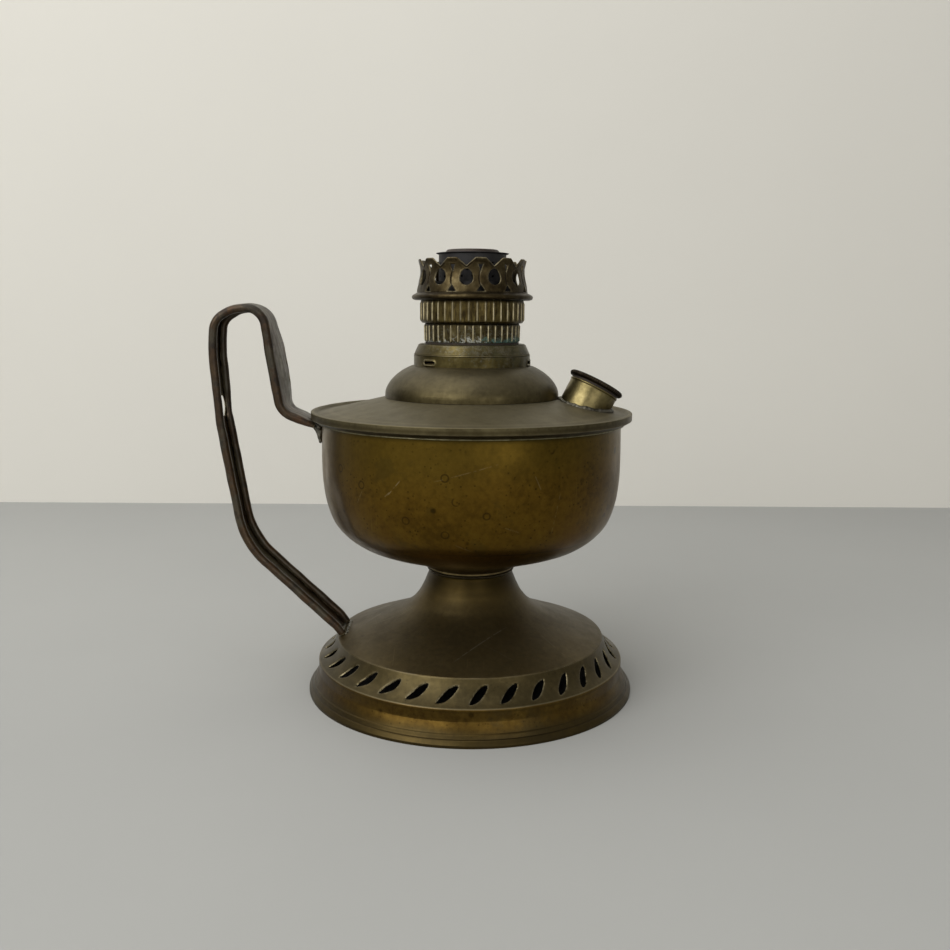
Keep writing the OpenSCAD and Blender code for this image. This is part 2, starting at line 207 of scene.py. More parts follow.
def sheet(u, s, surface, field, thick, edge, wrap=True):
    """A sheet on the grid u by s, kept where field is positive, and rounded over the last edge mm.

    surface(U, S) gives the middle of the sheet and its outward normal, in mm, and field(U, S)
    the distance from the nearest edge. With wrap it closes round the axis and is walled at both
    ends of s. Returns verts, faces and the edge distance of each vertex.
    """
    nu, ns = len(u), len(s)
    cols = nu if wrap else nu - 1
    U, S = np.meshgrid(u, s, indexing="ij")
    period = (u[1] - u[0]) * nu
    D = field(U, S)
    D = np.where(np.abs(D) < 1e-3, 1e-3, D)
    inside = D > 0
    ids = -np.ones((nu, ns), int)
    ids[inside] = np.arange(inside.sum())
    pu, ps, pd = list(U[inside]), list(S[inside]), list(D[inside])
    cross = {}

    def crossing(i, j, k, l):
        key = (i, j, k, l)
        if key not in cross:
            a, b = D[i, j], D[k, l]
            t = a / (a - b)
            du = U[k, l] - U[i, j]
            if wrap and du < -period / 2:
                du += period
            pu.append(U[i, j] + t * du)
            ps.append(S[i, j] + t * (S[k, l] - S[i, j]))
            pd.append(0.0)
            cross[key] = len(pu) - 1
        return cross[key]

    i = np.arange(cols)
    i2 = (i + 1) % nu
    full = inside[i][:, :-1] & inside[i2][:, :-1] & inside[i2][:, 1:] & inside[i][:, 1:]
    a, b = np.nonzero(full)
    a2 = (a + 1) % nu
    flat = np.stack([ids[a, b], ids[a2, b], ids[a2, b + 1], ids[a, b + 1]], 1).tolist()
    some = (inside[i][:, :-1] | inside[i2][:, :-1] | inside[i2][:, 1:] | inside[i][:, 1:]) & ~full
    for a, b in zip(*np.nonzero(some)):
        a2 = (a + 1) % nu
        corner = [(a, b), (a2, b), (a2, b + 1), (a, b + 1)]
        poly = []
        for k in range(4):
            p, q = corner[k], corner[(k + 1) % 4]
            if inside[p]:
                poly.append(ids[p])
            if inside[p] != inside[q]:
                lo, hi = (p, q) if k in (0, 1) else (q, p)
                poly.append(crossing(*lo, *hi))
        if len(poly) > 2:
            flat.append([int(x) for x in poly])
    pu, ps, pd = np.array(pu), np.array(ps), np.array(pd)
    P, N = surface(pu, ps)
    e = np.clip(pd / edge, 0, 1)
    h = (thick / 2 * np.sqrt(np.clip(1 - (1 - e) ** 2, 0, 1)))[:, None]
    n = len(pu)
    outer, inner = P + N * h, P - N * h
    lower = np.where(pd == 0, np.arange(n), np.arange(n) + n)
    faces = flat + [[int(lower[x]) for x in f[::-1]] for f in flat]
    if wrap:
        for b, flip in ((0, False), (ns - 1, True)):
            for a in range(cols):
                p, q = ids[a, b], ids[(a + 1) % nu, b]
                if p >= 0 and q >= 0:
                    wall = [int(q), int(p), int(lower[p]), int(lower[q])]
                    faces.append(wall[::-1] if flip else wall)
    return np.vstack([outer, inner]), faces, np.concatenate([pd, pd])


def profile_surface(points):
    """surface() for a sheet whose middle is the polyline (r, z): U is the azimuth, S the length along it."""
    p = np.array(points, float)
    length = lengths(p)
    t = np.gradient(p, length, axis=0)
    t /= np.linalg.norm(t, axis=1)[:, None]

    def at(U, S):
        r = np.interp(S, length, p[:, 0])
        z = np.interp(S, length, p[:, 1])
        tr = np.interp(S, length, t[:, 0])
        tz = np.interp(S, length, t[:, 1])
        k = np.hypot(tr, tz)
        nr, nz = tz / k, -tr / k
        P = np.stack([r * np.sin(U), -r * np.cos(U), z], -1)
        N = np.stack([nr * np.sin(U), -nr * np.cos(U), nz], -1)
        return P, N

    return at, length


def wobble(x, y, seed, scale):
    """Smooth repeatable noise from a few sines, about -1 to 1."""
    rng = np.random.RandomState(seed)
    out = 0.0
    for k in range(6):
        f = (0.6 + 0.5 * k) / scale
        a, b, c = rng.uniform(-1, 1), rng.uniform(-1, 1), rng.uniform(0, TAU)
        out = out + np.sin(TAU * f * (a * x + b * y) + c) / (1 + 0.5 * k)
    return out / 2.6


def uneven(amount, radius, seed, scale, shift=0.0):
    """A wave for revolved(): sheet spun by hand is never quite round."""
    def wave(az, r, z):
        return amount * wobble(radius * np.sin(az), radius * np.cos(az) + z, seed, scale) + shift
    return wave


# ---------------------------------------------------------------- materials
class Shade:
    """A material being built from nodes. Coordinates are the object's own, in metres."""

    def __init__(self, name):
        self.mat = bpy.data.materials.new(name)
        self.mat.use_nodes = True
        self.tree = self.mat.node_tree
        self.tree.nodes.clear()
        self.out = self.node("ShaderNodeOutputMaterial")
        self.bsdf = self.node("ShaderNodeBsdfPrincipled")
        self.tree.links.new(self.bsdf.outputs[0], self.out.inputs[0])
        self.co = self.node("ShaderNodeTexCoord").outputs["Object"]
        sep = self.node("ShaderNodeSeparateXYZ")
        self.tree.links.new(self.co, sep.inputs[0])
        self.x, self.y, self.z = sep.outputs

    def node(self, kind, **values):
        n = self.tree.nodes.new(kind)
        for k, v in values.items():
            setattr(n, k, v)
        return n

    def put(self, socket, value):
        if isinstance(value, bpy.types.NodeSocket):
            self.tree.links.new(value, socket)
        elif value is not None:
            socket.default_value = value

    def math(self, op, a, b=None):
        n = self.node("ShaderNodeMath", operation=op)
        for s, v in zip(n.inputs, (a, b)):
            self.put(s, v)
        return n.outputs[0]

    def add(self, value, *others):
        for other in others:
            value = self.math("ADD", value, other)
        return value

    def mul(self, value, *others):
        for other in others:
            value = self.math("MULTIPLY", value, other)
        return value

    def radius(self):
        return self.math("SQRT", self.add(self.mul(self.x, self.x), self.mul(self.y, self.y)))

    def mix(self, fac, a, b):
        n = self.node("ShaderNodeMix", data_type="RGBA")
        self.put(n.inputs[0], fac)
        self.put(n.inputs[6], a if not isinstance(a, tuple) else (*a, 1.0))
        self.put(n.inputs[7], b if not isinstance(b, tuple) else (*b, 1.0))
        return n.outputs[2]

    def lerp(self, fac, a, b):
        n = self.node("ShaderNodeMix", data_type="FLOAT")
        self.put(n.inputs[0], fac)
        self.put(n.inputs[2], a)
        self.put(n.inputs[3], b)
        return n.outputs[0]

    def step(self, value, low, high):
        """0 below low, 1 above high, smooth between; low may be above high."""
        n = self.node("ShaderNodeMapRange", interpolation_type="SMOOTHSTEP")
        self.put(n.inputs[0], value)
        n.inputs[1].default_value = min(low, high)
        n.inputs[2].default_value = max(low, high)
        n.inputs[3].default_value = 0.0 if low < high else 1.0
        n.inputs[4].default_value = 1.0 if low < high else 0.0
        return n.outputs[0]

    def near(self, value, centre, width):
        """1 where value is at centre, fading to 0 at width from it."""
        gap = self.math("ABSOLUTE", self.add(value, -centre))
        return self.step(gap, width, 0.0)

    def scaled(self, scale, turn):
        n = self.node("ShaderNodeMapping")
        self.put(n.inputs[0], self.co)
        n.inputs["Scale"].default_value = scale
        n.inputs["Rotation"].default_value = turn
        return n.outputs[0]

    def noise(self, scale, detail=4.0, rough=0.55, vector=None):
        n = self.node("ShaderNodeTexNoise")
        self.put(n.inputs["Vector"], vector or self.co)
        n.inputs["Scale"].default_value = scale
        n.inputs["Detail"].default_value = detail
        n.inputs["Roughness"].default_value = rough
        return n.outputs[0]

    def cloud(self, low, high, *noise):
        """Patches: 0 where the noise is below low and 1 where it is above high."""
        return self.step(self.noise(*noise), low, high)

    def ragged(self, value, amount, *noise):
        """The value with noise added, up to half the amount either way."""
        return self.add(value, self.mul(self.add(self.noise(*noise), -0.5), amount))

    def cells(self, scale):
        """Distance from the nearest of many scattered points."""
        n = self.node("ShaderNodeTexVoronoi")
        self.put(n.inputs["Vector"], self.co)
        n.inputs["Scale"].default_value = scale
        return n.outputs["Distance"]

    def angle(self):
        """The angle round the axis."""
        return self.math("ARCTAN2", self.x, self.y)

    def vector(self, *parts):
        n = self.node("ShaderNodeCombineXYZ")
        for socket, part in zip(n.inputs, parts):
            self.put(socket, part)
        return n.outputs[0]

    def attribute(self, name):
        n = self.node("ShaderNodeAttribute", attribute_name=name)
        return n.outputs["Fac"]

    def bump(self, height, distance, strength, normal=None):
        n = self.node("ShaderNodeBump")
        n.inputs["Strength"].default_value = strength
        n.inputs["Distance"].default_value = distance
        self.put(n.inputs["Height"], height)
        self.put(n.inputs["Normal"], normal)
        return n.outputs[0]

    def paint(self, tint, *masks):
        """Turn the colour so far to tint, by the product of the masks."""
        self.color = self.mix(self.mul(*masks), self.color, tint)

    def finish(self, color, rough, metal, normal=None):
        self.put(self.bsdf.inputs["Base Color"], color)
        self.put(self.bsdf.inputs["Roughness"], rough)
        self.put(self.bsdf.inputs["Metallic"], metal)
        self.put(self.bsdf.inputs["Normal"], normal)
        return self.mat


def brass(name, dark, mid, bright, rough, dust=0.0, dust_color=None, spots=0.5, verdigris=None,
          lathe=0.5, edge_wear_and_highlight=0.0, worn=0.0, patches=26.0, metal=1.0, marks=(), scratches=0.5):
    """Old brass: patina between three tones, dark specks, fine spinning lines, scratches, dust, edges that
    are worn and also carry a painted highlight, and painted shade on the inner faces.
    """
    s = Shade(name)
    middle = s.noise(patches * 4.5, 5.0, 0.6)
    tone = s.add(s.mul(s.noise(patches, 5.0, 0.6), 0.34), s.mul(middle, 0.33),
                 s.mul(s.noise(380.0, 5.0, 0.65), 0.33))
    s.color = s.mix(s.step(tone, 0.38, 0.53), dark, mid)
    s.paint(bright, s.step(tone, 0.5, 0.66))
    s.rough = s.lerp(s.step(middle, 0.3, 0.7), rough + 0.06, rough - 0.05)
    s.metal = metal
    # dark oxide specks, large and small
    spot = s.mul(s.step(s.cells(120.0), 0.22, 0.08), s.cloud(0.52, 0.6, 60.0, 2.0), spots)
    s.paint(tuple(c * 0.3 for c in dark), spot)
    s.paint(tuple(c * 0.4 for c in dark), s.step(s.cells(420.0), 0.26, 0.1),
            s.cloud(0.42, 0.62, 80.0, 2.0), spots)
    # long thin scratches
    lines = []
    for scale, turn in (((1500.0, 22.0, 18.0), (0.3, 0.5, 0.2)), ((2100.0, 22.0, 18.0), (1.1, -0.4, 0.9))):
        line = s.cloud(0.72, 0.77, 1.0, 2.0, 0.5, s.scaled(scale, turn))
        lines.append(s.mul(line, s.cloud(0.54, 0.62, 38.0, 1.0)))
    s.paint(tuple(min(1, c * 1.5 + 0.01) for c in bright), s.math("MAXIMUM", *lines), scratches)
    # fine lines round the axis, as a lathe or spinning tool leaves
    turned = s.noise(1500.0, 3.0, 0.6, s.vector(s.radius(), s.mul(s.angle(), 0.001), s.z))
    s.rough = s.add(s.rough, s.mul(s.add(turned, -0.5), 0.16 * lathe))
    height = s.add(s.mul(s.noise(1400.0, 2.0, 0.5), 0.25), s.mul(turned, lathe), s.mul(spot, -0.6))
    if dust:
        facing = s.node("ShaderNodeSeparateXYZ")
        s.put(facing.inputs[0], s.node("ShaderNodeNewGeometry").outputs["Normal"])
        up = s.step(facing.outputs[2], 0.05, 0.85)
        film = s.mul(up, s.lerp(s.noise(85.0, 5.0, 0.65), 0.45, 1.0), dust)
        s.paint(dust_color, film)
        s.metal = s.lerp(film, metal, 0.25)
        s.rough = s.lerp(film, s.rough, 0.62)
    for mark in marks:
        mark(s)
    # edges worn bright, and painted pale as a highlight where they would catch light, along the rim attribute
    if edge_wear_and_highlight:
        worn_edge_highlight = s.mul(s.attribute("rim"), s.lerp(s.cloud(0.34, 0.58, 260.0, 4.0, 0.7), worn, 1.0), edge_wear_and_highlight)
        s.paint((0.6, 0.52, 0.32), worn_edge_highlight)
        s.metal = s.lerp(worn_edge_highlight, s.metal, 0.45)
    if verdigris:
        amount = verdigris(s)
        teal = s.step(s.add(s.noise(150.0, 3.0), s.mul(s.x, 4.0)), 0.5, 0.62)
        s.paint(s.mix(teal, (0.36, 0.37, 0.33), (0.055, 0.12, 0.1)), amount)
        s.rough = s.lerp(amount, s.rough, 0.85)
        s.metal = s.lerp(amount, s.metal, 0.0)
    # painted shade: the inner face of each sheet, mostly hidden, is dull and nearly black, so the insides
    # seen through slots and openings stay dark
    inside = s.attribute("inside")
    s.paint(tuple(c * 0.22 for c in dark), inside)
    s.rough = s.lerp(inside, s.rough, 0.7)
    normal = s.bump(height, 0.00005, 0.35)
    normal = s.bump(s.noise(34.0, 3.0), 0.0007, 0.35, normal)
    return s.finish(s.color, s.rough, s.metal, normal)


def deposits(z0, z1, side, amount=1.0):
    """White and blue-green salts, thick at z0 and gone at z1, both in mm; side adds more towards +X."""
    def at(s):
        low = s.step(s.z, z1 * MM, z0 * MM)
        cover = s.add(s.noise(420.0, 5.0, 0.75), s.mul(low, 0.3), s.mul(s.x, side))
        return s.mul(s.step(cover, 0.64, 0.78), s.cloud(0.4, 0.56, 1300.0, 4.0, 0.8), amount)
    return at


def bands(*rows):
    """Darker or lighter rings: each (z, half width in mm, colour, strength)."""
    def at(s):
        patchy = s.lerp(s.noise(120.0, 4.0), 0.55, 1.0)
        for z, half, tint, strength in rows:
            s.paint(tint, s.near(s.z, z * MM, half * MM), strength, patchy)
    return at


def segment(s, u, v, a, b, width):
    """1 on the line from a to b in the plane of u and v, fading out at width (mm) from it."""
    du, dv = (b[0] - a[0]) * MM, (b[1] - a[1]) * MM
    length = math.hypot(du, dv)
    du, dv = du / length, dv / length
    pu, pv = s.add(u, -a[0] * MM), s.add(v, -a[1] * MM)
    along = s.add(s.mul(pu, du), s.mul(pv, dv))
    across = s.math("ABSOLUTE", s.add(s.mul(pu, -dv), s.mul(pv, du)))
    inside = s.mul(s.step(along, 0.0, 0.12 * length), s.step(along, length, 0.8 * length))
    return s.mul(s.step(across, width * MM, width * 0.3 * MM), inside)


def scratched(s, u, v, tint, masks, rows):
    """Scratches in the plane of u and v: each (start, end, width in mm, strength)."""
    for a, b, width, strength in rows:
        s.paint(tint, segment(s, u, v, a, b, width), *masks, strength)


def bowl_marks(s):
    # olive towards the rim, orange low down
    height = s.ragged(s.z, 0.03, 16.0, 3.0)
    s.paint((0.085, 0.064, 0.011), s.step(height, 0.108, 0.136), 0.38)
    # painted shadow under the lid's rim, at the top of the bowl
    s.paint((0.018, 0.016, 0.005), s.step(s.z, 0.1345, 0.1375), 0.75)
    s.paint((0.11, 0.052, 0.008), s.step(height, 0.11, 0.08), s.cloud(0.4, 0.6, 24.0, 4.0), 0.45)
    s.paint((0.045, 0.034, 0.01), s.cloud(0.56, 0.64, 60.0, 6.0, 0.7), 0.3)
    # little rings where drops have dried, and a stain under the filler's side of the rim
    s.paint((0.024, 0.014, 0.004), s.near(s.cells(88.0), 0.15, 0.05), s.cloud(0.5, 0.54, 52.0, 2.0), 0.75)
    s.paint((0.016, 0.018, 0.008), segment(s, s.y, s.z, (-30.2, 125.5), (-30.6, 128.8), 2.2),
            s.step(s.x, 0.03, 0.05), s.cloud(0.38, 0.54, 150.0, 4.0), 0.8)
    # a crease round the front, low on the belly, painted as a dark line of shade
    line = s.add(s.z, s.mul(s.math("SINE", s.mul(s.x, 26.0)), 0.0004))
    s.paint((0.02, 0.014, 0.005), s.near(line, 0.0838, 0.00035), s.step(s.x, -0.035, 0.005), 0.7)
    broken_front = (s.cloud(0.4, 0.55, 400.0, 3.0), s.step(s.y, 0.0, -0.01))
    scratched(s, s.x, s.z, (0.3, 0.23, 0.12), broken_front, (
        ((-37, 111), (-31, 118.5), 0.3, 0.55), ((-38.5, 110), (-36, 112.5), 0.45, 0.45),
        ((-18, 118), (15, 127.5), 0.35, 0.22), ((40, 113), (36, 92), 0.3, 0.2),
        ((-52, 105), (-49, 112), 0.45, 0.25), ((12, 99), (22, 95), 0.3, 0.25),
        ((28, 121), (31, 114), 0.35, 0.25), ((-8, 90), (1, 86), 0.3, 0.2)))


def foot_marks(s):
    broken_cone = (s.cloud(0.36, 0.5, 300.0, 3.0), s.step(s.z, 0.022, 0.027))
    scratched(s, s.x, s.y, (0.24, 0.21, 0.15), broken_cone, (
        ((18.7, -31.4), (-8.8, -58.8), 0.45, 0.4), ((-35.8, 17.3), (-58.1, -9.1), 0.4, 0.3),
        ((-30, -12), (-58, -9), 0.35, 0.16), ((34, -30), (46, -44), 0.35, 0.15),
        ((5, -45), (22, -56), 0.3, 0.12)))
    # golden up the cone, a painted highlight at its crease, and painted shadow in the neck under the bowl,
    # below a painted highlight on the lip
    s.paint((0.1, 0.068, 0.02), s.step(s.z, 0.04, 0.052), s.cloud(0.25, 0.55, 30.0, 4.0), 0.75)
    s.paint((0.26, 0.22, 0.14), s.near(s.z, 0.027, 0.0007), s.cloud(0.35, 0.6, 90.0, 4.0), 0.25)
    s.paint((0.02, 0.013, 0.003), s.step(s.z, 0.046, 0.059), 0.8)
    s.paint((0.45, 0.4, 0.27), s.near(s.z, 0.0614, 0.0005), s.cloud(0.3, 0.5, 140.0, 4.0), 0.85)


def shadow_under_ring(z_top, depth):
    """Painted shadow that darkens a ring up to z_top, under the part that sits on it."""
    def at(s):
        height = s.ragged(s.z, 0.0022, 160.0, 4.0)
        dark = s.mul(s.step(height, (z_top - depth) * MM, z_top * MM), 0.85)
        s.paint((0.008, 0.006, 0.004), dark)
        s.rough = s.lerp(dark, s.rough, 0.6)
    return at


def crown_groove_shade(s):
    # painted shade in the pressed grooves of the coronet
    s.paint((0.012, 0.009, 0.006), s.step(s.attribute("groove"), 0.1, 0.55), 0.92)


def handle_marks(s):
    s.paint((0.075, 0.034, 0.012), s.cloud(0.5, 0.62, 70.0, 5.0, 0.65), 0.55)
    s.paint((0.06, 0.058, 0.04), s.cloud(0.53, 0.63, 55.0, 5.0, 0.7), 0.5)
    black = s.mul(s.cloud(0.54, 0.62, 120.0, 5.0, 0.7), 0.65)
    s.paint((0.01, 0.008, 0.006), black)
    # the flat web between the curls is dusty and greenish
    across = s.ragged(s.math("ABSOLUTE", s.y), 0.003, 60.0, 3.0)
    web = s.mul(s.step(across, 0.0094, 0.007), s.cloud(0.36, 0.6, 48.0, 5.0, 0.7))
    s.paint((0.06, 0.052, 0.028), web, 0.85)
    # an old dark crack on the leg next to the font, with painted highlights on its two swollen edges
    broken_leg = (s.step(s.x, -0.108, -0.104), s.cloud(0.36, 0.5, 170.0, 4.0))
    scratched(s, s.y, s.z, (0.2, 0.18, 0.12), broken_leg, [((-3.4, 158.0), (-1.8, 169.0), 1.5, 0.8)])
    scratched(s, s.y, s.z, (0.008, 0.006, 0.004), broken_leg, [((-3.2, 159.0), (-2.0, 168.0), 0.7, 0.8)])
    s.rough = s.lerp(black, s.rough, 0.55)
    s.metal = s.lerp(web, s.metal, 0.2)


def foot_dirt(s):
    low = s.step(s.ragged(s.z, 0.006, 26.0, 4.0), 0.0095, 0.004)
    s.paint((0.042, 0.033, 0.015), low, 0.75)
    s.paint((0.04, 0.032, 0.016), s.cloud(0.52, 0.64, 34.0, 6.0, 0.7), 0.4)


def ring_streaks(s):
    """Upright dark streaks beside the ribs, and grey scale in patches."""
    streak = s.noise(26.0, 4.0, 0.6, s.vector(s.angle(), s.mul(s.z, 6.0)))
    s.paint((0.018, 0.013, 0.007), s.step(streak, 0.46, 0.62), 0.75)
    s.paint((0.2, 0.2, 0.17), s.cloud(0.52, 0.62, 520.0, 5.0, 0.75), s.step(s.z, 0.1875, 0.1865), 0.3)


M = {}
M["foot"] = brass(
    "foot_brass", (0.052, 0.037, 0.014), (0.08, 0.058, 0.022), (0.112, 0.082, 0.032),
    rough=0.44, dust=0.25, dust_color=(0.072, 0.056, 0.028), spots=0.3, lathe=0.6, patches=14,
    marks=[foot_marks])
M["band"] = brass(
    "foot_band_brass", (0.038, 0.029, 0.012), (0.062, 0.047, 0.019), (0.094, 0.071, 0.03),
    rough=0.37, dust=0.15, dust_color=(0.085, 0.072, 0.04), spots=0.35, edge_wear_and_highlight=0.5,
    patches=16,
    # painted highlights: a pale line at the band's lower edge (16.25) and a softer one at its crease (27.0)
    marks=[bands((16.25, 0.3, (0.34, 0.29, 0.18), 0.35), (27.0, 0.5, (0.3, 0.25, 0.15), 0.2))])
M["skirt"] = brass(
    "foot_skirt_brass", (0.05, 0.029, 0.007), (0.085, 0.051, 0.011), (0.125, 0.079, 0.018),
    rough=0.38, spots=0.6, patches=18,
    marks=[foot_dirt, bands(
        # the pale line at 16.1 is a painted highlight along the skirt's top edge
        (16.1, 0.25, (0.34, 0.28, 0.16), 0.4), (14.9, 0.8, (0.035, 0.024, 0.006), 0.5),
        (3.4, 0.35, (0.015, 0.01, 0.004), 0.8), (5.5, 0.3, (0.02, 0.014, 0.005), 0.5))])
M["bowl"] = brass(
    "bowl_brass", (0.074, 0.041, 0.0062), (0.12, 0.068, 0.0095), (0.164, 0.098, 0.015),
    rough=0.34, spots=0.85, lathe=0.3, patches=13, marks=[bowl_marks], scratches=0.35)
M["lid"] = brass(
    "lid_brass", (0.06, 0.049, 0.024), (0.094, 0.078, 0.04), (0.135, 0.112, 0.058),
    rough=0.46, dust=0.6, dust_color=(0.118, 0.103, 0.062), spots=0.3, lathe=0.7,
    marks=[bands(
        # painted shade on the rim's outer face (140.8) and painted shadow under it (138.5); painted
        # highlights on the rim's top (142.9) and bottom (139.55) edges
        (140.8, 1.2, (0.038, 0.028, 0.011), 0.7), (138.5, 0.9, (0.014, 0.01, 0.004), 0.9),
        (142.9, 0.4, (0.2, 0.17, 0.1), 0.35), (139.55, 0.28, (0.26, 0.22, 0.13), 0.5))])
M["dome"] = brass(
    "dome_brass", (0.048, 0.038, 0.017), (0.077, 0.062, 0.029), (0.115, 0.094, 0.046),
    rough=0.4, dust=0.35, dust_color=(0.1, 0.087, 0.056), spots=0.25, lathe=0.9)
M["collar"] = brass(
    "collar_brass", (0.042, 0.033, 0.012), (0.078, 0.061, 0.022), (0.122, 0.098, 0.038),
    rough=0.38, dust=0.2, dust_color=(0.1, 0.09, 0.06), spots=0.4,
    verdigris=deposits(178, 160, 6.0, 0.14), edge_wear_and_highlight=0.5,
    marks=[bands(
        # painted highlights at the corner (170.95) and the top edge (175.7); a darker ring on the slope
        # (172.6)
        (170.95, 0.28, (0.32, 0.27, 0.15), 0.55), (175.7, 0.3, (0.3, 0.26, 0.17), 0.3),
        (172.6, 1.4, (0.03, 0.024, 0.01), 0.35))])
M["seam"] = brass("seam_brass", (0.1, 0.09, 0.05), (0.22, 0.2, 0.12), (0.34, 0.31, 0.2), rough=0.4, spots=0.6)
M["inner"] = brass("inner_brass", (0.1, 0.075, 0.034), (0.17, 0.13, 0.06), (0.24, 0.19, 0.09), rough=0.42)
M["handle"] = brass(
    "handle_brass", (0.021, 0.012, 0.005), (0.042, 0.024, 0.01), (0.078, 0.048, 0.019),
    rough=0.38, spots=0.5, edge_wear_and_highlight=0.55, patches=30, dust=0.1, metal=0.5,
    dust_color=(0.06, 0.052, 0.034), marks=[handle_marks])
M["neck"] = brass(
    "neck_brass", (0.1, 0.082, 0.036), (0.19, 0.155, 0.07), (0.29, 0.24, 0.115),
    rough=0.34, spots=0.35)
M["cap"] = brass(
    "cap_brass", (0.016, 0.012, 0.008), (0.034, 0.026, 0.017), (0.065, 0.052, 0.036),
    rough=0.5, spots=0.3)
M["burner"] = brass(
    "burner_brass", (0.03, 0.023, 0.009), (0.07, 0.056, 0.024), (0.125, 0.102, 0.048),
    rough=0.45, spots=0.6, verdigris=deposits(176, 182.0, 4.0), edge_wear_and_highlight=0.95,
    worn=0.55, patches=60, marks=[ring_streaks, shadow_under_ring(186.1, 1.8)])
M["ring"] = brass(
    "ring_brass", (0.042, 0.03, 0.01), (0.088, 0.066, 0.023), (0.15, 0.118, 0.045),
    rough=0.4, spots=0.5, edge_wear_and_highlight=0.95, worn=0.55, patches=60,
    marks=[ring_streaks, shadow_under_ring(197.6, 2.4)])
M["gallery"] = brass(
    "gallery_brass", (0.024, 0.017, 0.008), (0.05, 0.037, 0.017), (0.092, 0.072, 0.036),
    rough=0.42, spots=0.6, edge_wear_and_highlight=0.3, patches=75,
    # painted shade on the bead's underside (197.4); a dark ring where the coronet rises from the bead (200.9)
    marks=[crown_groove_shade, bands((200.9, 0.5, (0.01, 0.008, 0.005), 0.8),
        (197.4, 0.8, (0.008, 0.006, 0.004), 0.85))])


def plain(name, a, b, rough, metal, scale, bump=0.3, distance=0.0002):
    """A mottled surface between two colours, with a little grain."""
    s = Shade(name)
    n = s.noise(scale, 5.0, 0.65)
    m = s.noise(scale * 0.18, 3.0)
    color = s.mix(s.step(s.add(s.mul(n, 0.5), s.mul(m, 0.5)), 0.35, 0.65), a, b)
    return s.finish(color, s.lerp(n, rough - 0.1, rough + 0.1), metal, s.bump(n, distance, bump))


M["soot"] = plain("soot_black", (0.006, 0.006, 0.007), (0.022, 0.02, 0.02), 0.55, 0.3, 300.0)
M["brown"] = plain("spreader_brown", (0.012, 0.008, 0.006), (0.036, 0.021, 0.014), 0.5, 0.4, 260.0)
M["solder"] = plain("solder_grey", (0.04, 0.036, 0.026), (0.15, 0.14, 0.11), 0.42, 0.85, 240.0, 0.6, 0.0004)
M["leather"] = plain("seal_leather", (0.01, 0.007, 0.005), (0.03, 0.019, 0.011), 0.7, 0.0, 500.0)
M["wick"] = plain("wick_cotton", (0.4, 0.36, 0.28), (0.6, 0.56, 0.46), 0.95, 0.0, 700.0, 0.8, 0.0004)

CAD_LOOK = {
    "inner": ("lock_ring", "bowl_boss", "font_thread", "draught_tube", "spreader_seat", "raiser_sleeve",
              "wick_carrier"),
    "soot": ("wick_tube", "air_plate", "spreader_thimble", "spreader_flange"),
    "leather": ("cap_seal", "burner_seal"), "solder": ("handle_solder", "filler_solder"),
    "brown": ("spreader_cap",), "neck": ("filler_neck",), "cap": ("filler_cap",),
    "burner": ("burner_body",), "ring": ("gallery_ring",)}
for look in ("foot", "bowl", "lid", "dome", "collar", "handle", "gallery", "wick"):
    CAD_LOOK[look] = (look,)
for look, nodes in CAD_LOOK.items():
    for node in nodes:
        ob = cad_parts[node]
        ob.data.materials.clear()
        ob.data.materials.append(M[look])

# --------------------------------------------------------------------- foot
# thickness of the spun sheet, radius where the band meets the cone, and the cone's rise towards the axis
SHEET, CREASE, FOOT_SLOPE = 1.0, 68.4, 0.374
skirt = np.vstack([
    rounded([(83.5, 0.0), (83.5, 1.3), (82.3, 3.0), (81.9, 3.3), (81.6, 3.4), (80.9, 5.2), (80.3, 5.6),
             (79.3, 8.2), (78.4, 10.4), (78.3, 11.2)], 0.5, 3),
    [(78.3, 15.9), (78.15, 16.2)]])
o = resample(shell(skirt, SHEET), 0.9)
add("foot_skirt", *revolved(o, 288, uneven(0.08, 40, 3, 60, -0.09)), M["skirt"], "font", ("foot",),
    "foot_brass", attrs={"inside": inner_side(o, 288, skirt[-1])})

band = smooth([(78.0, 16.2), (75.0, 18.2), (72.3, 20.6), (70.0, 23.9), (CREASE, 27.0)], 8)
band_at, band_len = profile_surface(beside(band, SHEET / 2))
SLOTS, SLOT_PHASE, LEAN = 32, math.radians(3.2), math.radians(43)
SLOT_HALF_LENGTH, SLOT_HALF_WIDTH, BAND_RADIUS = 6.25, 1.8, 72.3
SLOT_MIDDLE = band_len[-1] * 0.485


def slot_axes(x, S, lean):
    """Places along and across a slot that leans, x being the way round from the middle of its cell."""
    y = S - SLOT_MIDDLE
    return y * np.cos(lean) + x * np.sin(lean), x * np.cos(lean) - y * np.sin(lean)


def band_field(U, S):
    k, turn = cell_at(U, SLOTS, SLOT_PHASE)
    jit = np.random.RandomState(5).uniform(-1, 1, (SLOTS + 2, 3))[k]
    x = BAND_RADIUS * turn
    a, b = slot_axes(x, S, LEAN + 0.05 * jit[..., 0])
    b = b + 0.12 * np.sin(a * 0.6 + 9 * jit[..., 1])
    half = SLOT_HALF_LENGTH + 0.2 * jit[..., 2]
    t = np.clip(a / half, -1, 1)
    w = SLOT_HALF_WIDTH * np.where(t > 0, (1 - t ** 2) ** 0.62, (1 - t ** 2) ** 0.74)
    w = w + 0.03 * wobble(a, x * 3, 11, 4.0)
    beyond = np.abs(a) - half
    return np.where(beyond > 0, np.maximum(np.hypot(b, beyond), 0.02), (np.abs(b) - w) * 0.85)


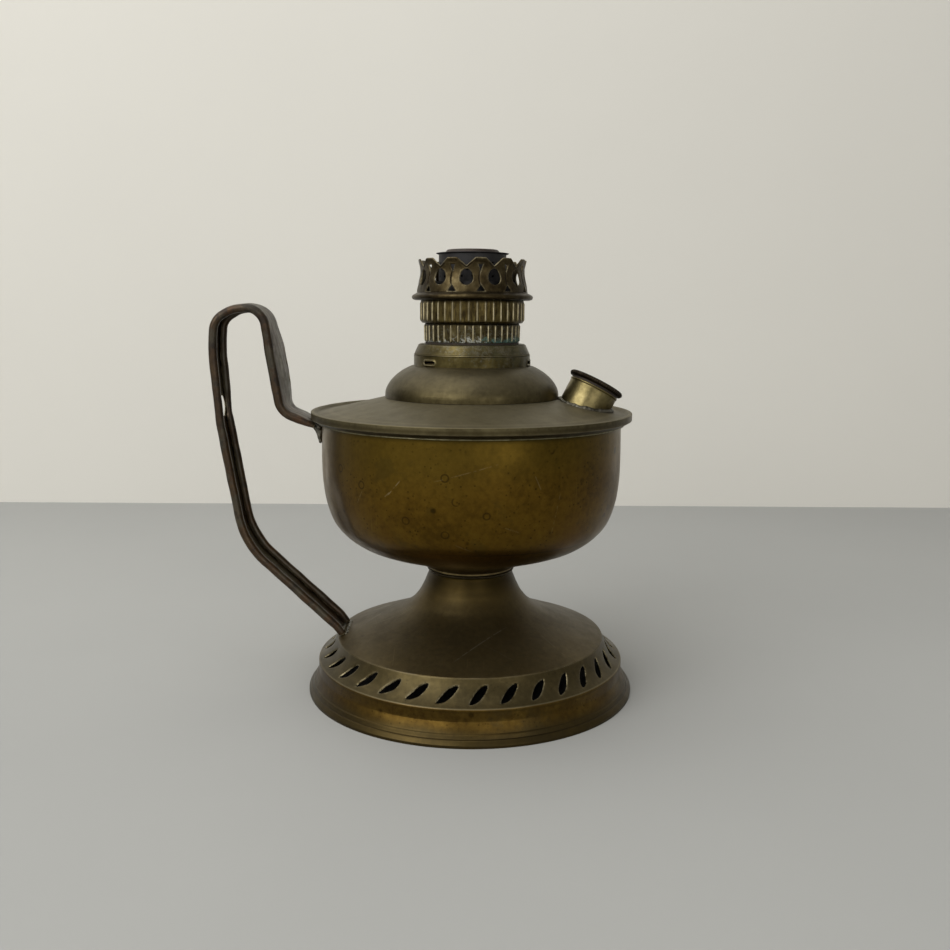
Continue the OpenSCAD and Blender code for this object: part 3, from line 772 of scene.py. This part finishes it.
def band_surface(U, S):
    P, N = band_at(U, S)
    a, b = slot_axes(BAND_RADIUS * cell_at(U, SLOTS, SLOT_PHASE)[1], S, LEAN)
    lip = np.exp(-((np.abs(b) - 1.3) / 0.9) ** 2 - (a / 5.2) ** 4)
    push = 0.12 * lip * np.sign(b) - 0.08 * np.exp(-(b / 3) ** 2 - (a / 5) ** 2)
    return P + N * push[..., None], N


steps = np.linspace(0, band_len[-1], 32)
v, f, d = sheet(around(960), steps, band_surface, band_field, SHEET * 0.9, 0.35)
add("foot_pierced_band", v, f, M["band"], "font", ("foot",), "foot_brass",
    attrs={"rim": np.exp(-d / 0.25), "inside": np.arange(len(v)) >= len(v) // 2})

cone = np.vstack([[(CREASE, 27.0)], smooth(
    [(68.2, 27.3), (60.0, 30.3), (50.0, 34.0), (44.8, 36.0), (40.0, 38.1), (36.0, 40.1), (32.8, 42.2),
     (30.4, 44.1), (28.6, 46.1), (27.0, 48.1), (25.7, 50.1), (24.7, 52.1), (23.7, 54.1), (22.9, 56.1),
     (22.1, 58.1), (21.4, 60.0), (21.5, 60.9), (22.2, 61.7)], 3)])
o = resample(shell(cone, SHEET), 2.0)
add("foot_cone", *revolved(o, 288, uneven(0.1, 30, 8, 45)), M["foot"], "font", ("foot",), "foot_brass",
    attrs={"inside": inner_side(o, 288, cone[-1])})


def cone_height(r):
    """Height of the cone's straight lower part at radius r."""
    return 27.2 + (CREASE - r) * FOOT_SLOPE


# --------------------------------------------------------------------- bowl
bowl = np.vstack([
    [(17.7, 63.2), (21.6, 63.4)],
    smooth([(23.4, 64.0), (30.0, 67.0), (41.0, 70.9), (51.4, 74.2), (58.0, 77.2), (64.4, 82.0), (69.6, 88.6),
            (73.0, 98.2), (74.6, 108.5), (75.0, 119.0), (74.8, 132.0)], 8),
    [(74.7, 137.3), (74.9, 137.6), (76.0, 137.6)]])


def bowl_wave(az, r, z):
    dents = hills(az, z, [(-62, 104, 7, 9, -0.9), (-58, 92, 6, 8, -0.6), (-72, 112, 5, 12, -0.5),
                          (40, 100, 16, 14, -0.25), (-20, 118, 18, 9, -0.22), (14, 126, 12, 5, 0.12),
                          (-30, 96, 9, 7, -0.2), (70, 112, 9, 10, -0.3), (150, 105, 14, 12, -0.5),
                          (215, 95, 10, 9, -0.4)])
    crease = -0.16 * np.exp(-((z - 83.6 + 0.6 * np.cos(az)) / 0.35) ** 2) * (np.cos(az + 0.15) > 0.1)
    return dents + crease + uneven(0.1, 60, 21, 70)(az, r, z)


add("bowl_shell", *revolved(resample(shell(bowl, SHEET), 1.3), 320, bowl_wave), M["bowl"], "font",
    ("bowl",), "bowl_brass")

# ---------------------------------------------------------------------- lid
# (r, z) where the lid's sloping top starts at the dome and ends near the rim
LID_IN, LID_OUT = (40.5, 150.1), (75.2, 141.7)
LID_SLOPE = (LID_IN[1] - LID_OUT[1]) / (LID_OUT[0] - LID_IN[0])
lid = rounded([(40.5, 149.1), (75.0, 140.7), (76.6, 140.7), (76.6, 138.6), (75.8, 138.4), (75.8, 137.5),
               (76.3, 137.45), (80.0, 139.55), (80.0, 142.8), (79.0, 143.05), (78.3, 142.9), (77.5, 142.3),
               (76.8, 141.7), (75.0, 141.75), LID_IN],
              [0, .4, .2, .1, .1, .1, .2, .35, .3, .5, .5, .5, .6, .8, 0], 5)


def lid_height(r):
    """Height of the lid's sloping top at radius r, which is flat near its rim."""
    return LID_IN[1] - (r - LID_IN[0]) * LID_SLOPE if r < 75 else LID_OUT[1]


def lid_wave(az, r, z):
    return uneven(0.1, 60, 31, 80)(az, r, z) - hills(az, r, [(-68, 66, 7, 5, 0.5)])


add("lid_plate", *revolved(resample(lid, 1.6), 320, lid_wave), M["lid"], "font", ("lid",), "lid_brass")
turn = np.linspace(0, TAU, 9)
seam = np.stack([76.25 + 0.28 * np.cos(turn), 137.3 + 0.28 * np.sin(turn)], -1)[::-1]
add("lid_seam", *revolved(seam, 288), M["seam"], "font", (), "lid_brass")

dome = smooth([(43.4, 149.6), (43.2, 152.6), (42.0, 155.6), (39.6, 158.9), (36.0, 162.0), (32.0, 164.3),
               (29.6, 165.2), (25.0, 165.9)], 6)
add("dome_shell", *revolved(resample(shell(dome, SHEET), 1.2), 256, uneven(0.09, 30, 41, 40)), M["dome"],
    "font", ("dome",), "dome_brass")

# ------------------------------------------------------------------- collar
collar = rounded([(28.9, 165.3), (28.9, 170.4), (28.95, 170.9), (28.6, 171.3), (26.7, 175.5), (26.1, 176.0),
                  (23.4, 176.0)], [0, .5, .25, .5, .4, .3, 0], 4)
collar_at, collar_len = profile_surface(beside(collar, 0.4))
PRESSED = [math.radians(a) for a in (-45, 75, 195)]


def pressed(U, S):
    """Places along and up from the middle of the nearest pressed slot."""
    out_x, out_y = np.full_like(U, 99.0), S - 1.9
    for a in PRESSED:
        x = 29.1 * ((U - a + math.pi) % TAU - math.pi)
        out_x = np.where(np.abs(x) < np.abs(out_x), x, out_x)
    return out_x, out_y


def collar_field(U, S):
    x, y = pressed(U, S)
    qx, qy = np.abs(x) - 3.1, np.abs(y) - 0.1
    return np.hypot(np.maximum(qx, 0), np.maximum(qy, 0)) + np.minimum(np.maximum(qx, qy), 0) - 0.55


def collar_surface(U, S):
    P, N = collar_at(U, S)
    x, y = pressed(U, S)
    oval = np.hypot(np.maximum(np.abs(x) - 2.4, 0), y)
    lug = 0.45 * np.exp(-((oval - 1.25) / 0.45) ** 2) + 0.15 * np.exp(-(oval / 1.1) ** 2)
    return P + N * lug[..., None], N


steps = np.linspace(0, collar_len[-1], 52)
v, f, d = sheet(around(480), steps, collar_surface, collar_field, 0.8, 0.3)
add("collar_cover", v, f, M["collar"], "font", ("collar",), "collar_brass",
    attrs={"rim": 0.7 * np.exp(-d / 0.4)})

# ---------------------------------------------------------- burner and rings
RIBS, RIB_HEIGHT, RIB_WIDTH, RIB_COLUMNS = 40, 0.5, 0.28, 800


def ribbed(name, outline, phase, z0, z1, *rest):
    """A ring with upright ribs on its outer wall, from z0 to z1."""
    base = resample(outline, 0.8)
    outer = base[:, 0] > base[:, 0].max() - 0.8

    def rib(az, r, z):
        x = r * cell_at(az, RIBS, math.radians(phase))[1]
        up = np.clip((z - z0) / 0.5, 0, 1) * np.clip((z1 - z) / 0.5, 0, 1)
        return np.exp(-(x / RIB_WIDTH) ** 2) * up * outer

    # the ridges of the ribs get the material's worn edge colour and its painted highlight
    worn_edge_highlight = rib(around(RIB_COLUMNS)[:, None], base[:, 0], base[:, 1]).ravel()
    add(name, *revolved(base, RIB_COLUMNS, lambda az, r, z: RIB_HEIGHT * rib(az, r, z)), *rest,
        attrs={"rim": worn_edge_highlight}, sharp=50)


grip = rounded([(22.4, 177.0), (23.2, 176.95), (23.3, 178.0), (23.5, 185.5), (23.2, 186.05), (22.4, 186.05)],
               [0, .2, .2, .3, .2, 0], 3)
ribbed("burner_grip", grip, 1.2, 177.1, 185.2, M["burner"], "burner", ("burner_body",), "burner_brass")
# the seal's dark leather ring also stands as the shadow gap under the grip
gasket = resample([(22.9, 176.1), (23.25, 176.05), (23.3, 176.8), (22.9, 176.85)], 0.5)
add("burner_gasket", *revolved(gasket, 128), M["leather"], "burner_washer", ("burner_seal",), "seal_leather")
coils = [(22.4, 163.1)]
for k in range(5):
    z = 164.2 + 2.5 * k
    coils += [(22.55, z - 1.0), (22.93, z - 0.35), (22.93, z + 0.35), (22.55, z + 1.0)]
coils += [(22.6, 176.9), (22.4, 176.9), (22.0, 176.5), (22.0, 164.4), (21.3, 164.3), (21.3, 163.1)]
add("burner_thread", *revolved(resample(coils, 1.0), 128), M["inner"], "burner", (), "burner_brass")
grip = rounded([(22.2, 186.15), (24.7, 186.15), (25.4, 186.9), (25.4, 197.2), (24.6, 197.2), (24.6, 187.4),
                (22.2, 187.2)], [0, .6, .7, .2, .2, .4, 0], 4)
ribbed("gallery_grip", grip, -3.6, 187.0, 196.4, M["ring"], "gallery_turning", ("gallery_ring",),
       "ring_brass")

# ------------------------------------------------------------------ gallery
bead = rounded([(24.7, 197.2), (25.4, 197.2), (26.2, 197.5), (28.2, 197.2), (29.6, 197.7), (30.0, 198.7),
                (29.6, 199.6), (28.6, 200.1), (27.5, 200.7), (26.8, 200.7), (26.4, 199.4), (25.2, 198.2)],
               [0, .2, .3, .8, .8, .8, .8, .7, .2, .1, .6, 0], 4)
bead = resample(np.vstack([bead, bead[:1]]), 0.7)
add("gallery_bead", *revolved(bead, 256, uneven(0.06, 20, 51, 25)), M["gallery"], "gallery_turning",
    ("gallery",), "gallery_brass")

crown = smooth([(27.3, 200.5), (27.05, 202.8), (26.4, 206.0), (25.75, 209.0), (25.6, 211.2), (25.85, 213.6),
                (26.6, 216.9)], 8)
crown_at, crown_len = profile_surface(beside(crown, 0.35))
CROWN, CROWN_PHASE, CROWN_RADIUS = 12, math.radians(-6.3), 26.0
EGG_Z, EGG_UP, EGG_DOWN, EGG_HALF_WIDTH = 207.4, 4.3, 3.15, 3.1
CROWN_CELL = CROWN_RADIUS * TAU / CROWN


def crown_field(U, S):
    z = np.interp(S, crown_len, np.array(crown)[:, 1])
    k, turn = cell_at(U, CROWN, CROWN_PHASE)
    jit = np.random.RandomState(9).uniform(-1, 1, (CROWN, 2))[k]
    ax = np.abs(CROWN_RADIUS * turn)
    # the big egg-shaped hole
    dz = z - (EGG_Z + 0.1 * jit[..., 0])
    height = np.where(dz > 0, EGG_UP, EGG_DOWN)
    share = np.clip(np.abs(dz) / height, 0, 1)
    w = EGG_HALF_WIDTH * np.sqrt(np.clip(1 - share ** np.where(dz > 0, 1.75, 2.1), 0, 1))
    outside = np.hypot(np.maximum(ax - w, 0), np.abs(dz) - height)
    egg = np.where(np.abs(dz) < height, (ax - w) * 0.85, outside)
    # the edge: flat tips over the joins, a straight-sided notch over each hole
    edge = np.interp(ax, [0, 0.35, 4.15, 4.5, 6.8], [213.1, 213.3, 216.6, 216.75, 216.8]) + 0.05 * jit[..., 1]
    top = (edge - z) * 0.8
    # the small holes at the joins
    bx = CROWN_CELL / 2 - ax
    small = np.maximum((210.4 - z) + bx * 2.9, z - 213.6) * 0.34
    small = np.where(z > 213.6, np.maximum(small, z - 213.6), small)
    low = np.maximum((z - 204.2 + bx * 1.6) * 0.53, 201.3 - z)
    return np.minimum.reduce([egg, top, small, low])


def crown_groove(U, z):
    """The line pressed where one ring of the coronet seems to pass over the next."""
    x = CROWN_RADIUS * cell_at(U, CROWN, CROWN_PHASE)[1]
    ax = np.abs(x)
    ring_edge = np.abs(np.hypot(x - np.where(x > 0, 1, -1) * CROWN_CELL, (z - 207.2) * 0.93) - 7.6)
    near_join = np.exp(-((CROWN_CELL / 2 - ax) / 2.6) ** 4) * (x > 0)
    near_join = near_join * np.clip((z - 203.9) / 0.5, 0, 1) * np.clip((211.2 - z) / 0.5, 0, 1)
    upper = (ax - 0.9) * 0.62 - (z - 212.9) * 0.78
    near_notch = np.exp(-((ax - 1.2) / 1.6) ** 4) * (z > 211.6) * (z < 214.4)
    return np.exp(-(ring_edge / 0.3) ** 2) * near_join + 0.8 * np.exp(-(upper / 0.28) ** 2) * near_notch


def crown_surface(U, S):
    P, N = crown_at(U, S)
    d = crown_field(U, S)
    z = P[..., 2]
    lip = 0.1 * np.exp(-((d - 0.45) / 0.3) ** 2)
    bend = 0.25 * np.clip((z - 214) / 2.6, 0, 1) * wobble(P[..., 0], P[..., 1], 61, 18)
    return P + N * (lip + bend - 0.22 * crown_groove(U, z))[..., None], N


steps = np.linspace(0, crown_len[-1], 72)
v, f, d = sheet(around(720), steps, crown_surface, crown_field, 0.7, 0.3)
groove = crown_groove(np.arctan2(v[:, 0], -v[:, 1]), v[:, 2])
add("gallery_coronet", v, f, M["gallery"], "gallery_turning", ("gallery",), "gallery_brass",
    attrs={"rim": np.exp(-d / 0.25), "groove": groove})

# ----------------------------------------------------------------- spreader
plate = rounded([(0, 219.32), (15.8, 219.32), (17.4, 219.5), (17.95, 219.75), (17.9, 219.92), (17.2, 219.85),
                 (15.6, 219.8), (0, 219.8)], [0, .6, .4, .08, .08, .4, .6, 0], 3)
add("spreader_brim", *revolved(resample(plate, 1.5), 128, closed=False), M["soot"], "spreader",
    ("spreader_flange",), "soot_black")
button = rounded([(0, 219.85), (13.6, 219.85), (13.5, 220.3), (12.7, 221.3), (12.3, 221.6), (10.8, 221.6),
                  (10.2, 221.3), (0, 221.2)], [0, .1, .3, .4, .3, .3, .5, 0], 3)
add("spreader_top", *revolved(resample(button, 1.2), 128, closed=False), M["brown"], "spreader",
    ("spreader_cap",), "spreader_brown")

# ------------------------------------------------------------------- filler
FILLER_TILT, FILLER_TURN = math.radians(28), math.radians(14)
FILLER_AWAY, FILLER_SIDE = 56.7, math.radians(-7)
base = Vector((FILLER_AWAY * math.cos(FILLER_SIDE), FILLER_AWAY * math.sin(FILLER_SIDE),
               lid_height(FILLER_AWAY)))
FILL = (Matrix.Translation(base) @ Matrix.Rotation(FILLER_TURN, 4, "Z")
        @ Matrix.Rotation(FILLER_TILT, 4, "Y"))
neck = rounded([(11.5, -4.0), (12.4, -4.0), (12.4, 8.6), (12.75, 9.2), (12.6, 9.75), (11.9, 9.8), (11.5, 9.5),
                (11.5, -4.0)], [0, .2, .4, .3, .3, .2, .2, 0], 4)
add("filler_tube", *revolved(resample(neck, 1.0), 128, uneven(0.06, 10, 81, 14)), M["neck"], "font",
    ("filler_neck",), "neck_brass", place=FILL)
cap = rounded([(0, 10.9), (11.6, 10.9), (12.6, 10.75), (13.6, 10.9), (14.15, 11.7), (14.15, 12.3),
               (13.6, 13.1), (12.8, 13.25), (12.1, 12.9), (11.7, 12.4), (0, 12.7)],
              [0, .3, .5, .7, .5, .5, .6, .4, .4, .4, 0], 4)


def knurl(az, r, z):
    return np.where(r > 12.4, 0.13 * (np.cos(az * 72) - 1) * np.clip((r - 12.4) / 1.2, 0, 1), 0)


add("filler_lid", *revolved(resample(cap, 0.7), 432, knurl, closed=False), M["cap"], "cap",
    ("filler_cap",), "cap_brass", place=FILL)
plug = rounded([(10.4, 4.6), (11.4, 4.5), (11.4, 11.0), (10.4, 11.0), (10.4, 4.6)], [0, .2, .1, .1, 0], 3)
add("filler_plug", *revolved(resample(plug, 1.2), 96), M["inner"], "cap", (), "cap_brass", place=FILL)

# ------------------------------------------------------------------- handle
PATH = [(-77.4, 135.4), (-94.2, 142.5), (-102.0, 194.1), (-117.1, 192.3), (-125.9, 187.0), (-127.2, 172.7),
        (-124.5, 136.0), (-114.5, 75.6), (-69.0, 32.8), (-62.8, 24.6)]
FILLETS = [0, 9.5, 9.9, 16.6, 9.0, 82.0, 84.0, 42.0, 16.0, 0]
route = resample(rounded(PATH, FILLETS, 24, 0.66), 0.8)
route_len = lengths(route)
keep = np.concatenate([[True], np.diff(route_len) > 1e-6])
route, route_len = route[keep], route_len[keep]
total = route_len[-1]
grid_s = np.linspace(0, total, int(total / 0.8))
px, pz = np.interp(grid_s, route_len, route[:, 0]), np.interp(grid_s, route_len, route[:, 1])
tx, tz = np.gradient(px, grid_s), np.gradient(pz, grid_s)
k = np.hypot(tx, tz)
tx, tz = tx / k, tz / k
# half the flat web of the strip, and the radius of its curls
HALF_WEB, CURL = 9.9, 1.8
CURL_END = HALF_WEB + CURL * TAU * 0.86
# the split in the outer leg: its middle along and across the strip, and half its size each way
HOLE_X, HOLE_Z, HOLE_U = -125.2, 144.0, 6.0
HOLE_S = float(grid_s[np.argmin((px - HOLE_X) ** 2 + (pz - HOLE_Z) ** 2)])
HOLE_HALF_U, HOLE_HALF_S = 3.6, 5.2


def strip_section(U, S):
    """Where the sheet runs across the strip: n towards the web's side, y across, and its normal there."""
    side = np.sign(U)
    a = np.maximum(np.abs(U) - HALF_WEB, 0) / CURL
    flat = 1 - 0.45 * np.clip((S - total + 10) / 9, 0, 1) ** 2 - 0.55 * np.clip((8.5 - S) / 8, 0, 1)
    squashed = np.exp(-((S - HOLE_S) / 5.5) ** 4) * (U > 0)
    r = CURL * (1 - 0.05 * a / TAU) * flat * (1 - 0.3 * squashed)
    arch = 0.3 * (1 - (np.minimum(np.abs(U), HALF_WEB) / HALF_WEB) ** 2) - (1 - flat) * CURL
    n = np.where(a > 0, r * np.cos(a), CURL + arch)
    y = np.where(a > 0, HALF_WEB + 0.5 * squashed + r * np.sin(a), np.abs(U))
    dn = np.where(a > 0, np.cos(a), 1.0)
    dy = np.where(a > 0, np.sin(a), 0.07 * np.abs(U) / HALF_WEB)
    return n - 0.25, side * y, dn, side * dy


def handle_surface(U, S):
    x, z = np.interp(S, grid_s, px), np.interp(S, grid_s, pz)
    ux, uz = np.interp(S, grid_s, tx), np.interp(S, grid_s, tz)
    n, y, dn, dy = strip_section(U, S)
    # the web's side is on the right of the route, seen with +X right and +Z up
    ox, oz = uz, -ux
    sway = 0.12 * wobble(S, 0, 91, 70)
    dent = 0.18 * wobble(U * 2, S, 92, 16)
    # the leg next to the font is a little twisted: its far edge leans out
    twist = 0.9 * np.exp(-((z - 163.0) / 17.0) ** 4) * (x > -110) * (1 + U / HALF_WEB)
    P = np.stack([x + ox * (n + dent + twist), y + sway, z + oz * (n + dent + twist)], -1)
    N = np.stack([ox * dn, dy, oz * dn], -1)
    N /= np.linalg.norm(N, axis=-1)[..., None]
    return P, N


def handle_field(U, S):
    side = np.sign(U)
    ragged = 0.35 * wobble(S, side * 5, 93, 9) + 0.25 * wobble(S, side * 3, 94, 2.5)
    d = np.minimum.reduce([CURL_END + ragged - np.abs(U), S - 0.3, total - 0.3 - S])
    # the foot end is cut to the slope of the foot
    P, _ = handle_surface(U, S)
    r = np.hypot(P[..., 0], P[..., 1])
    above_foot = (P[..., 2] - cone_height(r) - 0.1) * 0.94 - 0.1
    hole_u = HOLE_U + 0.2 * wobble(S, 0, 95, 5)
    hole = (np.hypot((U - hole_u) / HOLE_HALF_U, (S - HOLE_S) / HOLE_HALF_S) - 1) * HOLE_HALF_U
    return np.minimum.reduce([d, above_foot, hole])


u = np.linspace(-CURL_END - 1.2, CURL_END + 1.2, 96)
v, f, d = sheet(u, grid_s, handle_surface, handle_field, 0.62, 0.25, wrap=False)
add("handle_strip", v, f, M["handle"], "font", ("handle",), "handle_brass", sharp=60,
    attrs={"rim": np.exp(-d / 0.3)})

# the flattened end that runs on under the rim and down the bowl's side
lug = resample(rounded([(-82.0, 138.0), (-79.3, 135.6), (-76.5, 131.6), (-75.5, 128.0)],
                       [0, 1.6, 1.8, 0], 6), 0.5)
lug_at = lengths(lug)
LUG_WALL = 75.7


def lug_surface(U, S):
    x, z = np.interp(S, lug_at, lug[:, 0]), np.interp(S, lug_at, lug[:, 1])
    tx = np.interp(S, lug_at, np.gradient(lug[:, 0], lug_at))
    tz = np.interp(S, lug_at, np.gradient(lug[:, 1], lug_at))
    follow = np.clip((x + 79.0) / 3.0, 0, 1)
    bent = follow * (LUG_WALL - np.sqrt(LUG_WALL ** 2 - U ** 2))
    dent = 0.15 * wobble(U, S, 98, 7)
    P = np.stack([x + bent + dent * tz, U, z - dent * tx], -1)
    N = np.stack([tz, 0.0 * x, -tx], -1)
    return P, N / np.linalg.norm(N, axis=-1)[..., None]


def lug_field(U, S):
    half = 8.8 - 0.06 * np.maximum(S - 8, 0) + 0.25 * wobble(S, 0, 99, 6)
    corner = np.hypot(np.maximum(np.abs(U) - half + 2, 0), np.maximum(S - lug_at[-1] + 2.2, 0))
    return np.minimum.reduce([half - np.abs(U), S - 0.2, 2 - corner + 0 * U])


u = np.linspace(-10, 10, 41)
v, f, d = sheet(u, np.linspace(0, lug_at[-1], 44), lug_surface, lug_field, 0.7, 0.3, wrap=False)
add("handle_lug", v, f, M["handle"], "font", (), "handle_brass", sharp=60,
    attrs={"rim": 0.5 * np.exp(-d / 0.3)})


# ------------------------------------------------------------------- solder
def blob(name, balls, replaces, voxel=0.45, rough=0.25):
    """Lumps of solder: overlapping balls melted into one skin."""
    bm = bmesh.new()
    for x, y, z, r in balls:
        bmesh.ops.create_icosphere(bm, subdivisions=3, radius=r * MM,
                                   matrix=Matrix.Translation(Vector((x, y, z)) * MM))
    me = bpy.data.meshes.new(name)
    bm.to_mesh(me)
    bm.free()
    ob = bpy.data.objects.new(name, me)
    scene.collection.objects.link(ob)
    mod = ob.modifiers.new("melt", "REMESH")
    mod.mode = "VOXEL"
    mod.voxel_size = voxel * MM
    soft = ob.modifiers.new("soft", "SMOOTH")
    soft.iterations = 6
    done = bpy.data.meshes.new_from_object(ob.evaluated_get(bpy.context.evaluated_depsgraph_get()))
    ob.modifiers.clear()
    ob.data = done
    co = np.array([p.co for p in done.vertices])
    no = np.array([p.normal for p in done.vertices])
    lump = wobble(co[:, 0] / MM + co[:, 2] / MM, co[:, 1] / MM - co[:, 2] / MM, 97, 3.5)
    co = co + no * (lump * rough * MM)[:, None]
    done.vertices.foreach_set("co", co.ravel())
    done.polygons.foreach_set("use_smooth", np.ones(len(done.polygons), bool))
    goes_with(ob, M["solder"], "font", replaces)


def on_wall(radius, y):
    """x of the point at y on the left side of an upright wall."""
    return -math.sqrt(radius ** 2 - y ** 2)


rng = np.random.RandomState(4)
balls = []
up = FILL.to_3x3() @ Vector((0, 0, 1))
for a in around(44):
    p = FILL @ Vector((12.6 * math.cos(a), 12.6 * math.sin(a), 0))
    p = p + up * ((lid_height(math.hypot(p.x, p.y)) - p.z) / up.z)
    balls.append((p.x, p.y, p.z, 1.3 + 0.5 * rng.rand()))
blob("filler_fillet", balls, ("filler_solder",))

balls = []
for y in np.linspace(-9.2, 9.2, 22):
    balls.append((on_wall(75.5, y), y, 127.4 + 0.5 * rng.rand(), 0.75 + 0.35 * rng.rand()))
for z in np.linspace(128, 135.5, 11):
    strip_out = float(np.interp(z, [128.0, 131.6, 135.6], [75.5, 76.4, 79.0]))
    for y in (-8.7, 8.7):
        for out in np.linspace(75.4, strip_out, 3):
            balls.append((on_wall(out, y), y + 0.3 * rng.rand(), z, 0.75 + 0.35 * rng.rand()))
for y in np.linspace(-10.2, 10.2, 26):
    balls.append((on_wall(76.2, y), y, 134.4 + 0.5 * rng.rand(), 1.0 + 0.4 * rng.rand()))
for y in np.linspace(-10.5, 10.5, 30):
    for x in (-66.4, -63.6):
        z = cone_height(math.hypot(x, y)) - 0.15
        balls.append((x + 0.5 * rng.rand(), y, z, 0.75 + 0.3 * rng.rand()))
blob("handle_fillet", balls, ("handle_solder",), voxel=0.35, rough=0.18)

# ------------------------------------------------------------------- camera
cam = bpy.data.cameras.new("camera")
cam.sensor_width = 36.0
cam.lens = 37.2562105
cam.clip_start, cam.clip_end = 0.01, 20.0
eye = bpy.data.objects.new("camera", cam)
eye.matrix_world = (Matrix.Translation((0, -0.49416, 0.19124)) @ Matrix.Rotation(-0.0039, 4, "Z")
                    @ Matrix.Rotation(math.pi / 2 - 0.16359, 4, "X") @ Matrix.Rotation(0.00688, 4, "Z"))
scene.collection.objects.link(eye)
scene.camera = eye

# ------------------------------------------------------------ floor and wall
s = Shade("floor_paint")
tone = s.noise(3.0, 4.0)
pale = s.mix(tone, (0.345, 0.35, 0.345), (0.395, 0.4, 0.39))
# painted shadow: the floor is near black under the lamp, within about 72 to 80 mm of the axis, so the foot's
# slots look dark inside
M["floor"] = s.finish(s.mix(s.step(s.radius(), 0.08, 0.072), pale, (0.012, 0.011, 0.01)), 0.75, 0.0)
s = Shade("wall_paint")
M["wall"] = s.finish(s.mix(s.noise(2.0, 4.0), (0.665, 0.65, 0.605), (0.725, 0.71, 0.66)), 0.9, 0.0)
for name, corners, mat in (
        ("stage_floor", [(-3, -2.5, 0), (3, -2.5, 0), (3, 0.479, 0), (-3, 0.479, 0)], "floor"),
        ("stage_wall", [(-3, 0.479, 0), (3, 0.479, 0), (3, 0.479, 2.5), (-3, 0.479, 2.5)], "wall")):
    me = bpy.data.meshes.new(name)
    me.from_pydata(corners, [], [(0, 1, 2, 3)])
    me.materials.append(M[mat])
    ob = bpy.data.objects.new(name, me)
    scene.collection.objects.link(ob)


# ------------------------------------------------------------------- lights
def softbox(name, place, size, power, color):
    """A soft rectangular light that faces the lamp."""
    light = bpy.data.lights.new(name, "AREA")
    light.shape = "RECTANGLE"
    light.size, light.size_y = size
    light.energy = power
    light.color = color
    ob = bpy.data.objects.new(name, light)
    ob.location = place
    ob.rotation_euler = (Vector((0, 0.1, 0.1)) - Vector(place)).to_track_quat("-Z", "Y").to_euler()
    scene.collection.objects.link(ob)


softbox("light_top", (-0.45, 0.0, 1.35), (1.8, 1.4), 13.0, (1.0, 0.985, 0.95))
softbox("light_fill", (0.7, -1.9, 0.5), (1.2, 1.2), 6.0, (1.0, 0.98, 0.95))
softbox("light_front", (-1.1, -1.3, 1.0), (1.6, 1.2), 20.0, (1.0, 0.99, 0.965))
world = bpy.data.worlds.new("world")
world.use_nodes = True
world.node_tree.nodes["Background"].inputs[0].default_value = (1.0, 0.985, 0.94, 1.0)
world.node_tree.nodes["Background"].inputs[1].default_value = 0.38
scene.world = world
scene.view_settings.view_transform = "Standard"
